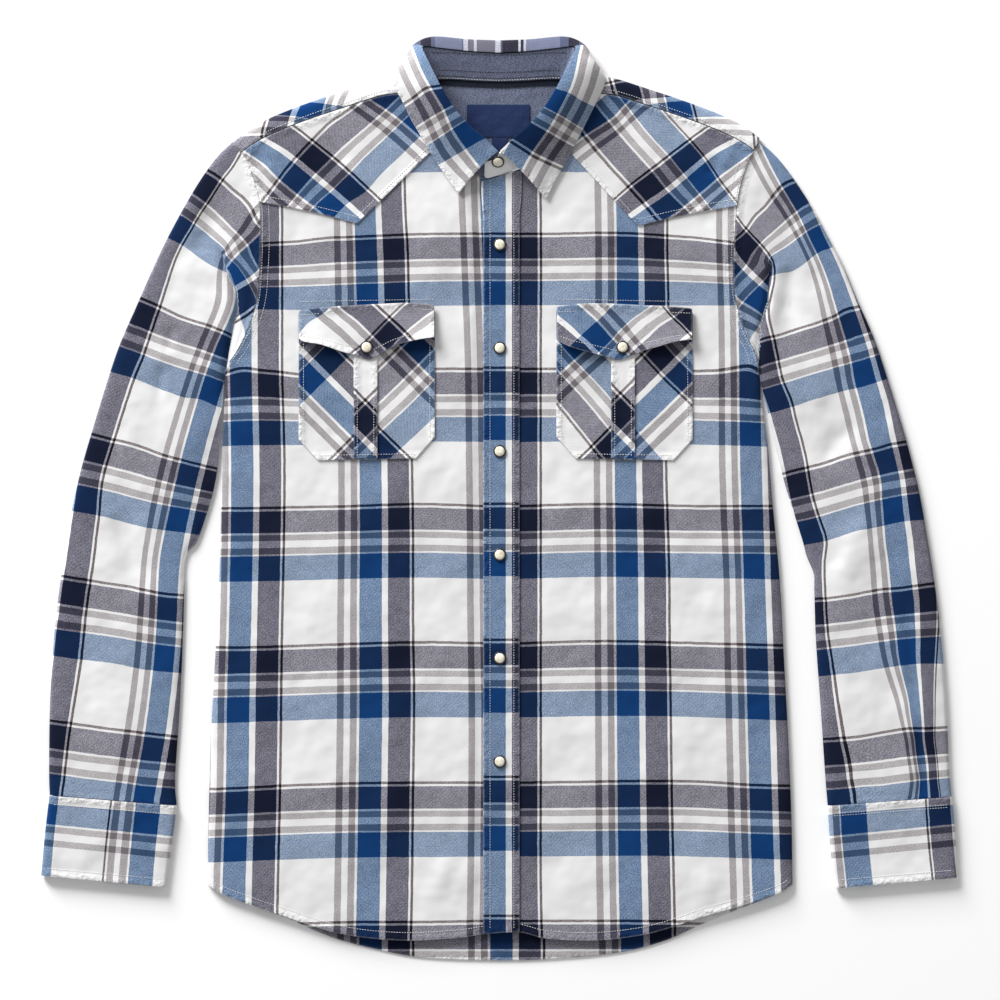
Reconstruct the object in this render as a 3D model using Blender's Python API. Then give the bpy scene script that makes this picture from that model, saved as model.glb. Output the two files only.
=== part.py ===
"""A western snap shirt laid flat on its back, as cut cloth pieces at their real size.

The shirt lies on the plane z = 0 with its front up, collar towards +Y and the wearer's left side
towards +X. Every length below is in millimetres; MM turns it into Blender's metres at the end.
Each piece that a maker would cut is a wall of cloth of its own, 0.3 to 0.5 mm from its neighbours.
"""

import math

import bmesh
import bpy
from mathutils import Matrix, Vector

MM = 0.001

# Cloth and how it is stacked
CLOTH = 1.2  # wall of the main panels
OVERLAY = 1.0  # wall of pieces sewn on top of a panel
CUFF_WALL = 1.6  # two plies and interfacing
SEAM = 0.4  # clearance between pieces at a seam
LOFT = 5.8  # height of the front's outer face above the table
FOLD_Z = 2.4  # height of the outer face where a side is folded
ROLL = 13.0  # how far in from a side the cloth takes to rise to LOFT
LAP_DROP = CLOTH + SEAM  # the under front lies this much lower than the upper front

# Body outline, from the shoulder point down to the hem. Above PIT_Y it is the armhole seam.
SHOULDER_Y, PIT_Y, HEM_SIDE_Y = 336.0, 119.0, -362.0
SIDE_COLUMNS = ("y", "wearer_right", "wearer_left")
SIDE = (
    (-362, -274, 276),
    (-301, -273, 275),
    (-226, -271, 272),
    (-151, -267, 268),
    (-76, -263, 264),
    (-1, -261, 257),
    (56, -260, 252),
    (93, -258, 247),
    (119, -257, 243.5),
    (130, -253, 240),
    (140, -245, 236.5),
    (154, -238, 232),
    (170, -232, 227),
    (190, -227, 222),
    (216, -225, 220),
    (244, -224, 221),
    (280, -225, 224),
    (300, -230, 228),
    (321, -238, 235.5),
    (336, -250, 245),
)

# Heights at which every piece that meets a side seam or an armhole has a row of points
BODY_STATIONS = (-362, -345, -310, -262, -205, -150, -100, -55, -10, 30, 65, 95)
ARMHOLE_STATIONS = (119, 129, 140, 154, 170, 190, 216, 244, 277, 302, 315)

# Curved hems, as the height y of the edge at each x
FRONT_HEM_COLUMNS = ("x", "y")
FRONT_HEM = (
    (-274, -362),
    (-262, -370),
    (-234, -381),
    (-201, -392),
    (-150, -408),
    (-93, -414.5),
    (-37, -412),
    (-9, -408),
    (20, -407),
    (43, -412.5),
    (90, -414.5),
    (132, -410),
    (160, -403),
    (189, -393),
    (231, -381),
    (264, -369.5),
    (276, -362),
)
BACK_HEM_COLUMNS = ("x", "y")
BACK_HEM = (
    (-274, -362),
    (-262, -370),
    (-234, -381),
    (-201, -393),
    (-159, -411),
    (-121, -421.5),
    (-74, -430.5),
    (0, -433.3),
    (57, -431.5),
    (118, -425),
    (160, -413.5),
    (189, -400),
    (231, -383),
    (264, -370),
    (276, -362),
)

# Shoulders: the fold of the back yoke over the shoulder, and the seam in front of it
SHOULDER_FOLD_COLUMNS = ("x_from_centre", "y")
SHOULDER_FOLD = (
    (68, 390.5),
    (76, 394),
    (88, 397),
    (102, 396.5),
    (113, 394.5),
    (140, 385.8),
    (171, 375.5),
    (197, 366),
    (217, 357.5),
    (233, 348.6),
    (243, 341),
    (251, 335),
)
SHOULDER_STRIP = 15.0  # how much of the back yoke shows in front of the fold
BACK_YOKE_SIDE_Y, BACK_YOKE_POINT_Y = 277.0, 250.0

# Front yokes: the pointed lower edge, from the armhole to the point and up to the neck
YOKE_COLUMNS = ("corner_y", "point_x", "point_y", "neck_x", "neck_y")
YOKES = {"right": (279.6, 133.5, 259.4, 58, 333), "left": (276, 130.7, 257.1, 61, 332.5)}

NECK_HALF_WIDTH = 71.0  # where the neck seam meets the shoulder, seen from above

# Collar. Each row is one station of one half, from the centre front round to the centre back: the
# stand's lower edge on either side, the roll line on top, the leaf's middle, and its edge on
# either side. x is measured out from the centre.
COLLAR_COLUMNS = ("foot_right", "foot_left", "roll", "leaf_middle", "edge_right", "edge_left")
COLLAR = (
    ((6, 304.5, 7.0), (0, 305.2, 7.0), (1, 327, 20.5), (20, 311.5, 18), (38, 287.5, 8.9), (44.5, 282, 8.9)),
    ((20, 305, 7.0), (20, 312.5, 7.0), (13, 338.5, 22.5), (32, 328, 21), (49, 302.5, 8.9), (53, 299.5, 8.9)),
    ((42, 315, 7.2), (42, 320, 7.2), (26, 349.5, 25), (46, 342, 24), (61.5, 321, 8.8), (63.5, 318, 8.8)),
    ((57, 329, 7.2), (57, 331, 7.2), (38.5, 363, 27), (60, 357, 27), (73, 340.5, 8.8), (74.5, 339.5, 8.8)),
    ((65, 342, 7.2), (65, 342, 7.2), (46, 373.5, 28), (70, 370, 28), (83, 357.5, 8.8), (83.7, 357.5, 8.8)),
    ((69.5, 356, 7.2), (69.5, 356, 7.2), (53.5, 386, 28), (80, 384, 28), (91, 374.5, 8.8), (92, 374.5, 8.8)),
    ((70.5, 369, 7.2), (70.5, 369, 7.2), (60.5, 399.5, 26), (84, 398, 27), (98, 387, 9.0), (98, 387, 9.0)),
    ((68.5, 381, 6.6), (68.5, 381, 6.6), (67.5, 414, 21.5), (86, 412, 23), (99.5, 397, 9.0), (99.5, 397, 9.0)),
    ((62.5, 391, 5.4), (62.5, 391, 5.4), (71.5, 422.5, 16.5), (85, 421.5, 15), (95, 405, 5.0), (95, 405, 5.0)),
    ((55, 395.3, 4.2), (55, 395.3, 4.2), (70, 426, 13), (85, 437, 5), (84, 407, 1.4), (84, 407, 1.4)),
    ((42, 395, 3.8), (42, 395, 3.8), (56, 424.6, 11.5), (66, 455, -0.6), (66, 398.5, 1.3), (66, 398.5, 1.3)),
    ((20, 393.6, 3.7), (20, 393.6, 3.7), (28, 421.6, 10.5), (30, 453, -1.4), (30, 396.2, 1.3), (30, 396.2, 1.3)),
    ((0, 393, 3.6), (0, 393, 3.6), (0, 420, 10), (0, 452, -1.4), (0, 396, 1.3), (0, 396, 1.3)),
)
TAB_SLOPE = 0.3  # the tab runs on past the centre, this steeply down
STAND_LAP = 14.0  # how far the stand's closing tab reaches past the centre
LEAF_DROP = 2.2  # the stand ends this far below the roll line, under the leaf
LAP_SHARE = 0.62  # the tab is this much lower than the stand, so that it clears the leaf

# Sleeves: one row for each station below the armhole seam, its outer and inner edge and how much
# of the armhole's own curve the line between them keeps.
SLEEVE_COLUMNS = ("outer_x", "outer_y", "inner_x", "inner_y", "curve")
SLEEVE_RIGHT = (
    (-265, 322, -258.8, 107, 0.7),
    (-281, 300, -259.5, 95, 0.5),
    (-297, 273, -260.8, 82, 0.35),
    (-313, 243, -261.8, 67, 0.22),
    (-328, 211, -263, 51, 0.12),
    (-342, 179, -264, 35, 0.05),
    (-356, 147, -266.5, 18, 0),
    (-368, 112, -271, -1, 0),
    (-388, 46, -283.5, -38, 0),
    (-396, 16, -292.5, -49, 0),
    (-402, -12, -296, -63, 0),
    (-408, -48, -296, -86, 0),
    (-417, -114, -297.5, -137, 0),
    (-422, -189, -300.5, -201, 0),
    (-423, -255, -304.5, -262, 0),
    (-422.4, -277.8, -303.1, -287.4, 0),
)
SLEEVE_LEFT = (
    (261, 322, 246.5, 107, 0.7),
    (278, 300, 249.8, 95, 0.5),
    (294, 275, 252.8, 82, 0.35),
    (309, 247, 255.8, 67, 0.22),
    (323, 220, 259.5, 50, 0.12),
    (336, 189, 264, 33, 0.05),
    (349, 160, 269, 14, 0),
    (359, 133, 274.5, -4, 0),
    (379, 69, 285.5, -39, 0),
    (387, 40, 289.5, -54, 0),
    (394, 12, 296, -70, 0),
    (400, -20, 296.5, -87, 0),
    (411.5, -93, 298, -133, 0),
    (419.5, -175, 302.5, -197, 0),
    (423, -250, 306.5, -257, 0),
    (425.5, -279.2, 309, -287.7, 0),
)
# Cuffs: outer and inner corner at the sleeve's end and at the wrist
CUFF_COLUMNS = ("outer_x", "outer_y", "inner_x", "inner_y")
CUFF_RIGHT = ((-422.7, -278.4, -302.8, -288.1), (-427, -315, -308, -327), (-430.5, -353.5, -313, -364.5))
CUFF_LEFT = ((425.9, -279.6, 308.9, -288.1), (429, -315, 311.5, -327), (430.5, -355.5, 315.5, -365.5))
CUFF_LOFT = 7.0

# Folds and creases of the upper cloth: a soft ridge or trough from one end to the other
FOLD_COLUMNS = ("x0", "y0", "x1", "y1", "half_width", "height")
FOLDS = (
    (-264, 292, -304, 150, 20, -1.5),
    (-288, 246, -322, 120, 20, 1.3),
    (-266, 250, -252, 168, 16, 1.5),
    (-356, -22, -326, -80, 20, -1.6),
    (-340, -12, -306, -62, 18, 1.8),
    (-372, -130, -352, -240, 22, 1.0),
    (257, 262, 251, 165, 16, 1.5),
    (287, 226, 264, 158, 20, -1.4),
    (330, 92, 300, 36, 20, -1.5),
    (312, -84, 352, -28, 20, 2.0),
    (338, -96, 374, -40, 18, -1.3),
    (384, -110, 394, -270, 16, 1.6),
    (-38, -340, -66, -384, 18, 1.2),
    (-196, 130, -232, 50, 24, 1.0),
    (200, 132, 226, 60, 24, 1.0),
    (-120, -60, -150, -260, 40, 0.8),
    (150, -80, 170, -300, 40, 0.8),
    (-70, 290, -66, 190, 20, 0.7),
    (72, 290, 66, 190, 20, 0.7),
)

# Front closing
PLACKET_EDGES = (-14.8, 19.4)
PLACKET_FLARE = 2.0  # it spreads this much on either side below the collar
UPPER_FRONT_EDGE, UNDER_FRONT_EDGE = -13.5, 12.0
SNAP_X, FIRST_SNAP_Y, SNAP_PITCH, FRONT_SNAPS = 0.7, 239.7, 97.2, 6
NECK_SNAP, NECK_SNAP_LIFT = (-1.0, 317.5), 0.7

# Breast pockets: x of the bag's centre, of the pleat and of the flap's point and snap
POCKET_COLUMNS = ("centre", "pleat", "point")
POCKETS = {"right": (-124.3, -125.4, -124.5), "left": (118.0, 116.6, 115.6)}
POCKET_TOP_Y, POCKET_BOTTOM_Y = 181.6, 37.6
POCKET_SLOPE = 0.018  # its outer side hangs a little lower
POCKET_HALF_WIDTH, POCKET_CORNER = 64.0, 20.0
PLEAT_HALF_WIDTH = 11.2
FLAP_HALF_WIDTH, FLAP_SIDE_DROP, FLAP_POINT_DROP = 63.5, 31.0, 50.0
FLAP_GAPE = 3.6  # how far the flap's free corners stand off the pocket
FLAP_SNAP_DROP = 38.5

# Snaps: a pearl cap in a metal ring
RING_RADIUS, RING_HEIGHT, RING_INNER = 6.0, 1.3, 4.9
CAP_RADIUS, CAP_HEIGHT = 4.6, 2.2
SNAP_SIDES = 12

# What shows inside the neck
FACING_HALF_WIDTH, FACING_LOW_Y = 69.0, 314.0
TAPE_HALF_WIDTH, TAPE_HEIGHT = 60.0, 5.6
LABEL = (-30.3, 340.5, 28.9, 371.3)
SIZE_TAB = (-6.8, 328.0, 8.2, 340.0)
LABEL_WALL = 0.6

COLOURS = {
    "plaid": ((0.42, 0.47, 0.56), 0.85, 0.0),
    "chambray": ((0.15, 0.19, 0.29), 0.85, 0.0),
    "label": ((0.012, 0.022, 0.085), 0.8, 0.0),
    "ring": ((0.05, 0.05, 0.055), 0.35, 0.9),
    "pearl": ((0.80, 0.76, 0.66), 0.22, 0.0),
}


def hermite(table, key, column=1):
    """The smooth curve through one column of a table whose first column rises, read at key."""
    keys = [row[0] for row in table]
    values = [row[column] for row in table]
    key = min(max(key, keys[0]), keys[-1])
    i = max(k for k in range(len(keys) - 1) if keys[k] <= key)
    step = keys[i + 1] - keys[i]

    def slope(k):
        low, high = max(k - 1, 0), min(k + 1, len(keys) - 1)
        return (values[high] - values[low]) / (keys[high] - keys[low])

    t = (key - keys[i]) / step
    from_start, from_end = t * t * (3 - 2 * t), t * (1 - t) ** 2
    return (
        values[i] * (1 - from_start)
        + values[i + 1] * from_start
        + step * (slope(i) * from_end - slope(i + 1) * t * t * (1 - t))
    )


def mix(a, b, t):
    return a + (b - a) * t


def ease(t):
    t = min(max(t, 0.0), 1.0)
    return t * t * (3 - 2 * t)


def round_over(t):
    """A quarter of a circle: steep at 0 and level from 1 on."""
    t = min(max(t, 0.0), 1.0)
    return math.sqrt(1 - (1 - t) ** 2)


def side_x(y, side):
    return hermite(SIDE, y, SIDE_COLUMNS.index("wearer_" + side))


def shoulder_fold_y(x):
    return hermite(SHOULDER_FOLD, abs(x))


def shoulder_seam_y(x):
    return shoulder_fold_y(x) - SHOULDER_STRIP


def armhole_top_y(side):
    """Where the front's shoulder seam meets the armhole."""
    y = SHOULDER_Y - SHOULDER_STRIP
    for _ in range(12):
        y = mix(y, shoulder_seam_y(side_x(y, side)) - SEAM, 0.6)
    return y


def folds(x, y):
    """Height that the creases add to the upper cloth at a place on the shirt."""
    total = 0.0
    for x0, y0, x1, y1, half_width, height in FOLDS:
        along, across = Vector((x1 - x0, y1 - y0)), Vector((x - x0, y - y0))
        t = across.dot(along) / along.length_squared
        if -0.15 < t < 1.15:
            off = (across - along * t).length / half_width
            ends = ease((t + 0.15) / 0.4) * ease((1.15 - t) / 0.4)
            total += height * math.exp(-off * off) * ends
    return total


def edge_height(y):
    """Height of the cloth along the body's outline: folded below the armpit, full at the armhole."""
    from_end = min(y - PIT_Y, SHOULDER_Y - y)
    return mix(FOLD_Z, LOFT, round_over(from_end / ROLL))


def front_height(x, y):
    """Outer face of the front panels above the table."""
    inside = min(x - side_x(y, "right"), side_x(y, "left") - x)
    edge = edge_height(y)
    soft = round_over(inside / ROLL)
    return mix(edge, LOFT, soft) + folds(x, y) * (1.0 if y > PIT_Y else soft)


def on_front(x, y, lift):
    return Vector((x, y, front_height(x, y) + lift))


def material(name):
    found = bpy.data.materials.get(name)
    if found:
        return found
    colour, roughness, metallic = COLOURS[name]
    made = bpy.data.materials.new(name)
    made.use_nodes = True
    surface = made.node_tree.nodes["Principled BSDF"]
    surface.inputs["Base Color"].default_value = (*colour, 1)
    surface.inputs["Roughness"].default_value = roughness
    surface.inputs["Metallic"].default_value = metallic
    made.diffuse_color = (*colour, 1)
    return made


def add_object(name, mesh_builder, finish):
    """A node from a bmesh in millimetres, shaded smooth but for its sharp rims."""
    mesh = bpy.data.meshes.new(name)
    bmesh.ops.scale(mesh_builder, vec=(MM, MM, MM), verts=mesh_builder.verts)
    mesh_builder.to_mesh(mesh)
    mesh_builder.free()
    mesh.materials.append(material(finish))
    mesh.shade_smooth()
    mesh.set_sharp_from_angle(angle=math.radians(40))
    made = bpy.data.objects.new(name, mesh)
    bpy.context.scene.collection.objects.link(made)
    return made


def cloth(name, rows, wall, finish="plaid", tube=False, faceless=None):
    """A piece of cloth: rows of points on its outer face, with its wall on the inner side.

    Rows and columns run so that columns cross rows gives the outward side. A tube's rows close
    on themselves. faceless(i, j) leaves out a patch of the grid, as at the neck.
    """
    builder = bmesh.new()
    grid = [[builder.verts.new(point) for point in row] for row in rows]
    columns = len(rows[0])
    for i in range(len(rows) - 1):
        for j in range(columns if tube else columns - 1):
            if faceless and faceless(i, j):
                continue
            k = (j + 1) % columns
            builder.faces.new((grid[i][j], grid[i][k], grid[i + 1][k], grid[i + 1][j]))
    loose = [vert for vert in builder.verts if not vert.link_faces]
    bmesh.ops.delete(builder, geom=loose, context="VERTS")
    made = add_object(name, builder, finish)
    thick = made.modifiers.new("wall", "SOLIDIFY")
    thick.thickness = wall * MM
    thick.offset = -1
    return made


def spaced(*stops):
    """Evenly spaced values through (value, steps) stops: the steps lead up to each value."""
    values = [stops[0][0]]
    for value, steps in stops[1:]:
        start = values[-1]
        values += [mix(start, value, k / steps) for k in range(1, steps + 1)]
    return values


# --- Body ---------------------------------------------------------------------------------------


def neck_point(t, side, outward):
    """A point outside the neck seam, from the centre back (t = 0) to the centre front (t = 1)."""
    column = COLLAR_COLUMNS.index("foot_" + side)
    stations = [Vector(row[column][:2]) for row in reversed(COLLAR)]
    place = t * (len(stations) - 1)
    i = min(int(place), len(stations) - 2)
    along = stations[i + 1] - stations[i]
    return stations[i].lerp(stations[i + 1], place - i) + Vector((-along.y, along.x)).normalized() * outward


def front_top_y(x, side):
    """Upper edge of a front panel at x: the shoulder seam, then the neckline below the stand."""
    clearance = CLOTH + SEAM
    from_centre = x if side == "left" else -x
    if from_centre >= NECK_HALF_WIDTH + clearance:
        return shoulder_seam_y(x) - 2 * SEAM
    line = [neck_point(0.5 + 0.5 * k / 240, side, clearance) for k in range(241)]
    if from_centre < line[-1].x:
        return line[-1].y + (from_centre - line[-1].x) * (TAB_SLOPE if side == "left" else 0)
    nearest = min(line, key=lambda point: abs(point.x - from_centre))
    return min(nearest.y, shoulder_seam_y(NECK_HALF_WIDTH) - 2 * SEAM)


def front_panel(side, centre_x):
    """One front, from the side seam to its centre edge and from the hem up to shoulder and neck."""
    across = [0, 0.004, 0.014, 0.032, 0.056, 0.11, 0.18, 0.26, 0.35, 0.45, 0.56, 0.66, 0.72, 0.8, 0.88, 0.93, 1]
    top_y = armhole_top_y(side)
    rows = []
    for edge_y in (*BODY_STATIONS, *ARMHOLE_STATIONS, top_y):
        r = (edge_y - HEM_SIDE_Y) / (top_y - HEM_SIDE_Y)
        row = []
        for u in across:
            hem_x, x, top_x = (mix(side_x(y, side), centre_x, u) for y in (HEM_SIDE_Y, edge_y, top_y))
            y = mix(hermite(FRONT_HEM, hem_x), front_top_y(top_x, side), r)
            drop = LAP_DROP * ease((x + 27) / 9) if side == "right" else 0.0
            row.append(on_front(x, y, -drop))
        rows.append(row if side == "right" else row[::-1])
    return cloth("front_panel_" + side, rows, CLOTH)


def back_seam_y(x):
    return mix(BACK_YOKE_POINT_Y, BACK_YOKE_SIDE_Y, min(abs(x) / 222, 1))


def back_panel():
    """The back below the yoke, flat on the table."""
    half = [0, 0.015, 0.04, 0.08, 0.13, 0.19, 0.26, 0.34, 0.42]
    across = half + [0.5] + [1 - u for u in reversed(half)]
    stations = [y for y in BODY_STATIONS[::2] + ARMHOLE_STATIONS if y <= BACK_YOKE_SIDE_Y]
    rows = []
    for edge_y in stations:
        r = (edge_y - HEM_SIDE_Y) / (BACK_YOKE_SIDE_Y - HEM_SIDE_Y)
        row = []
        for u in across:
            hem_x, x, top_x = (
                mix(side_x(y, "right"), side_x(y, "left"), u) for y in (HEM_SIDE_Y, edge_y, BACK_YOKE_SIDE_Y)
            )
            row.append((x, mix(hermite(BACK_HEM, hem_x), back_seam_y(top_x) - SEAM, r), CLOTH))
        rows.append(row)
    return cloth("back_panel", rows, CLOTH)


def back_yoke():
    """The yoke lies flat behind the neck and folds over both shoulders to the front seam."""
    neck = (NECK_HALF_WIDTH + 3) / 251
    half = [neck, 0.33, 0.37, 0.42, 0.5, 0.6, 0.7, 0.81, 0.9, 0.96, 1]
    inner = [-0.9 * neck, -0.5 * neck, 0, 0.5 * neck, 0.9 * neck]
    across = [-u for u in reversed(half)] + inner + half
    top = LOFT + SEAM + OVERLAY
    last_y = SHOULDER_Y - 1.6
    flat_rows = [277, 302, 315, 326, 331, last_y]
    # (share of the strip in front of the fold, height share) round the shoulder
    wrap = ((0.0, 0.12), (-0.02, 0.4), (0.07, 0.72), (0.3, 0.93), (0.62, 1.0), (1.0, 1.0))
    rows = []
    for edge_y in flat_rows:
        r = (edge_y - BACK_YOKE_SIDE_Y) / (last_y - BACK_YOKE_SIDE_Y)
        row = []
        for u in across:
            low_x, x, top_x = (
                side_x(y, "left" if u > 0 else "right") * abs(u) for y in (BACK_YOKE_SIDE_Y, edge_y, last_y)
            )
            reach = shoulder_fold_y(top_x) - 1.2 if abs(u) >= neck else neck_back_y(top_x)
            row.append((x, mix(back_seam_y(low_x), reach, r), 0.0))
        rows.append(row)
    for share, level in wrap:
        row = []
        for u in across:
            side = "left" if u > 0 else "right"
            x = side_x(mix(SHOULDER_Y, armhole_top_y(side), max(share, 0)), side) * abs(u)
            y = shoulder_fold_y(x) - share * SHOULDER_STRIP
            crest = top + folds(x, y)
            row.append((x, y, crest * level))
        rows.append(row)
    inner_columns = range(len(half) - 1, len(half) + len(inner))
    last_flat = len(flat_rows) - 1
    return cloth(
        "back_yoke",
        [row[::-1] for row in rows],
        CLOTH,
        faceless=lambda i, j: i >= last_flat and j in inner_columns,
    )


def stand_foot_y(x):
    """The stand's lower edge behind the neck, where x runs over its flat part."""
    feet = [row[0][:2] for row in reversed(COLLAR[-4:])]
    return hermite(feet, abs(x))


def neck_back_y(x):
    """The back yoke's neck edge, just inside the collar stand's foot."""
    return stand_foot_y(x) - 2 * SEAM


def yoke_edge_y(x, side):
    """Lower edge of a front yoke: a shallow curve to the point, then a diagonal to the neck."""
    corner_y, point_x, point_y, neck_x, neck_y = YOKES[side]
    x = abs(x)
    if x > point_x:
        t = (x - point_x) / (abs(side_x(corner_y, side)) - point_x)
        return mix(point_y, corner_y, t) + 1.4 * math.sin(math.pi * t)
    return mix(neck_y, point_y, (x - neck_x) / (point_x - neck_x))


def front_yoke(side):
    """The pointed western yoke, sewn on top of the front from the shoulder seam down."""
    sign = -1 if side == "right" else 1
    corner_y, point_x, _, neck_x, _ = YOKES[side]
    corner_x, inner_x, top_y = abs(side_x(corner_y, side)), neck_x + 3.5, armhole_top_y(side)
    stops = spaced((corner_x, 0), (point_x, 5), (82, 3)) + [75, 73, 71.8, 70.5, 68, inner_x]
    across = [(corner_x - x) / (corner_x - inner_x) for x in stops]
    rows = []
    for edge_y in (corner_y, 285, 293, 302, 311, 319, top_y):
        r = (edge_y - corner_y) / (top_y - corner_y)
        row = []
        for u in across:
            low_x, x, top_x = (
                sign * mix(abs(side_x(y, side)), inner_x, u) for y in (corner_y, edge_y, top_y)
            )
            top, low = front_top_y(top_x, side), yoke_edge_y(low_x, side)
            row.append(on_front(x, mix(low, max(top, low + 0.5), r), SEAM + OVERLAY))
        rows.append(row if side == "right" else row[::-1])
    return cloth("front_yoke_" + side, rows, OVERLAY)


# --- Sleeves and cuffs --------------------------------------------------------------------------

# Round a folded tube of cloth: (distance in from a folded edge, share of its height)
TOP_EDGE = ((0.0, 0.42), (1.4, 0.78), (4.5, 0.93), (10.0, 1.0))
BOTTOM_EDGE = ((1.2, 0.1), (4.0, 0.0), (10.0, 0.0))


def tube_ring(place, width, loft, creases, inner_points):
    """Points round a flattened tube: over the top from its outer edge, then back underneath."""
    over = [(d / width, share) for d, share in TOP_EDGE]
    over += [(v, 1.0) for v in inner_points]
    over += [(1 - d / width, share) for d, share in reversed(TOP_EDGE)]
    under = [(1 - d / width, share) for d, share in BOTTOM_EDGE]
    under += [(v, 0.0) for v in reversed(inner_points)]
    under += [(d / width, share) for d, share in reversed(BOTTOM_EDGE)]
    ring = []
    for k, (v, share) in enumerate(over + under):
        x, y = place(v)
        lift = creases(x, y) * min(v, 1 - v, 0.12) / 0.12 if k < len(over) else 0.0
        ring.append(Vector((x, y, share * loft + lift)))
    return ring


def straight_line(outer, inner):
    return lambda v: outer.lerp(inner, v)


def armhole_point(side, v):
    sign = -1 if side == "right" else 1
    y = mix(SHOULDER_Y, PIT_Y, v)
    return Vector((side_x(y, side) + sign * 1.5 * SEAM, y))


def fanned(v):
    """Share of a station's width reached by the point that is v of the way down the armhole."""
    return v - 0.25 * math.sin(math.pi * v * v)


def sleeve_line(side, outer, inner, curve):
    """The line across a sleeve: straight but for the share it keeps of the armhole's curve."""

    def place(v):
        straight = outer.lerp(inner, fanned(v))
        level = armhole_point(side, 0).lerp(armhole_point(side, 1), fanned(v))
        return straight + (armhole_point(side, v) - level) * curve

    return place


def sleeve(side, stations):
    """One long sleeve, a tube of cloth lying flat, from the armhole seam to the cuff."""
    length = SHOULDER_Y - PIT_Y
    inner_points = [(SHOULDER_Y - y) / length for y in reversed(ARMHOLE_STATIONS[2:])]
    rows = [tube_ring(lambda v: armhole_point(side, v), length, LOFT, folds, inner_points)]
    for outer_x, outer_y, inner_x, inner_y, curve in stations:
        outer, inner = Vector((outer_x, outer_y)), Vector((inner_x, inner_y))
        place = sleeve_line(side, outer, inner, curve)
        rows.append(tube_ring(place, (inner - outer).length, LOFT, folds, inner_points))
    if side == "right":
        rows = rows[::-1]
    return cloth("sleeve_" + side, rows, CLOTH, tube=True)


def cuff(side, corners):
    """A cuff closed round the sleeve's end, two plies thick."""

    def no_crease(x, y):
        return 0.0

    rows = []
    for outer_x, outer_y, inner_x, inner_y in corners:
        outer, inner = Vector((outer_x, outer_y)), Vector((inner_x, inner_y))
        rows.append(tube_ring(straight_line(outer, inner), (inner - outer).length, CUFF_LOFT, no_crease, [0.33, 0.66]))
    if side == "right":
        rows = rows[::-1]
    return cloth("cuff_" + side, rows, CUFF_WALL, tube=True)


# --- Collar -------------------------------------------------------------------------------------


def collar_curve(column, t):
    """One of the collar's long lines: t runs from the wearer's right end (-1) to the left (1)."""
    table = [(k, *row[COLLAR_COLUMNS.index(column)]) for k, row in enumerate(COLLAR)]
    place = (1 - abs(t)) * (len(COLLAR) - 1)
    x, y, z = (hermite(table, place, axis) for axis in (1, 2, 3))
    return Vector((math.copysign(x, t) if t else 0.0, y, z))


def collar_stand():
    """The band that stands round the neck, closed in front by its snap tab over the other end."""
    strips = []
    for k in range(41):
        t = -1 + k / 20
        foot, roll = collar_curve("foot_right" if t < 0 else "foot_left", t), collar_curve("roll", t)
        strips.append((foot, roll + (foot - roll).normalized() - Vector((0, 0, LEAF_DROP))))
    slope = math.radians(30)
    outward = Vector((0, -math.sin(slope), math.cos(slope))) * (CLOTH + SEAM) / 2
    foot, top = strips[0]
    under = [
        (foot + Vector((reach, rise, rise / 2)), foot.lerp(top, share) + Vector((reach, 0, 0)))
        for reach, rise, share in ((14, 6.5, LAP_SHARE * 0.9), (11, 4.5, LAP_SHARE), (5, 2, 0.8))
    ]
    foot, top = strips[-1]
    over = [
        (foot + Vector((-reach, rise - reach * TAB_SLOPE, 0)), foot.lerp(top, share) + Vector((-reach, 0, 0)))
        for reach, rise, share in ((2, 0, 0.8), (STAND_LAP - 4, 0, LAP_SHARE), (STAND_LAP - 1, 1.4, LAP_SHARE), (STAND_LAP, 4.5, LAP_SHARE * 0.85))
    ]
    lap = [-1] * len(under) + [-1, -0.9, -0.5] + [0] * (len(strips) - 6) + [0.5, 0.9, 1] + [1] * len(over)
    rows = []
    for (foot, top), share in zip(under + strips + over, lap):
        rows.append([foot.lerp(top, v) + outward * share for v in (0, 0.35, 0.7, 1)])
    return cloth("collar_stand", rows, CLOTH, "chambray")


def collar_leaf():
    """The turned-down leaf, from the roll line over the stand to its pointed fronts."""
    rows = []
    for k in range(49):
        t = -1 + k / 24
        side = "edge_right" if t < 0 else "edge_left"
        roll, middle, edge = (collar_curve(c, t) for c in ("roll", "leaf_middle", side))
        row = []
        for v in (1, 0.8, 0.6, 0.42, 0.27, 0.13, 0):
            row.append(roll * (1 - v) ** 2 + middle * 2 * v * (1 - v) + edge * v * v)
        rows.append(row)
    return cloth("collar_leaf", rows, CLOTH)


# --- Front closing and pockets ------------------------------------------------------------------


def placket():
    """The snap strip, folded and stitched on the edge of the upper front."""
    rows = []
    for r in spaced((0, 0), (0.8, 15), (1, 6)):
        row = []
        for u in (0, 0.5, 1):
            x = mix(*PLACKET_EDGES, u)
            y = mix(hermite(FRONT_HEM, x) - 0.2, front_top_y(x, "left") - 0.2, r)
            x += PLACKET_FLARE * (2 * u - 1) * ease((y - 262) / 30)
            row.append(on_front(x, y, SEAM + OVERLAY))
        rows.append(row)
    return cloth("placket", rows, OVERLAY)


def pocket_place(side, x, y, lift):
    """A point on a pocket piece: x, y as cut, hung a little lower on its outer side."""
    centre = POCKETS[side][0]
    outward = x - centre if side == "left" else centre - x
    return on_front(x, y - outward * POCKET_SLOPE, lift)


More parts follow.
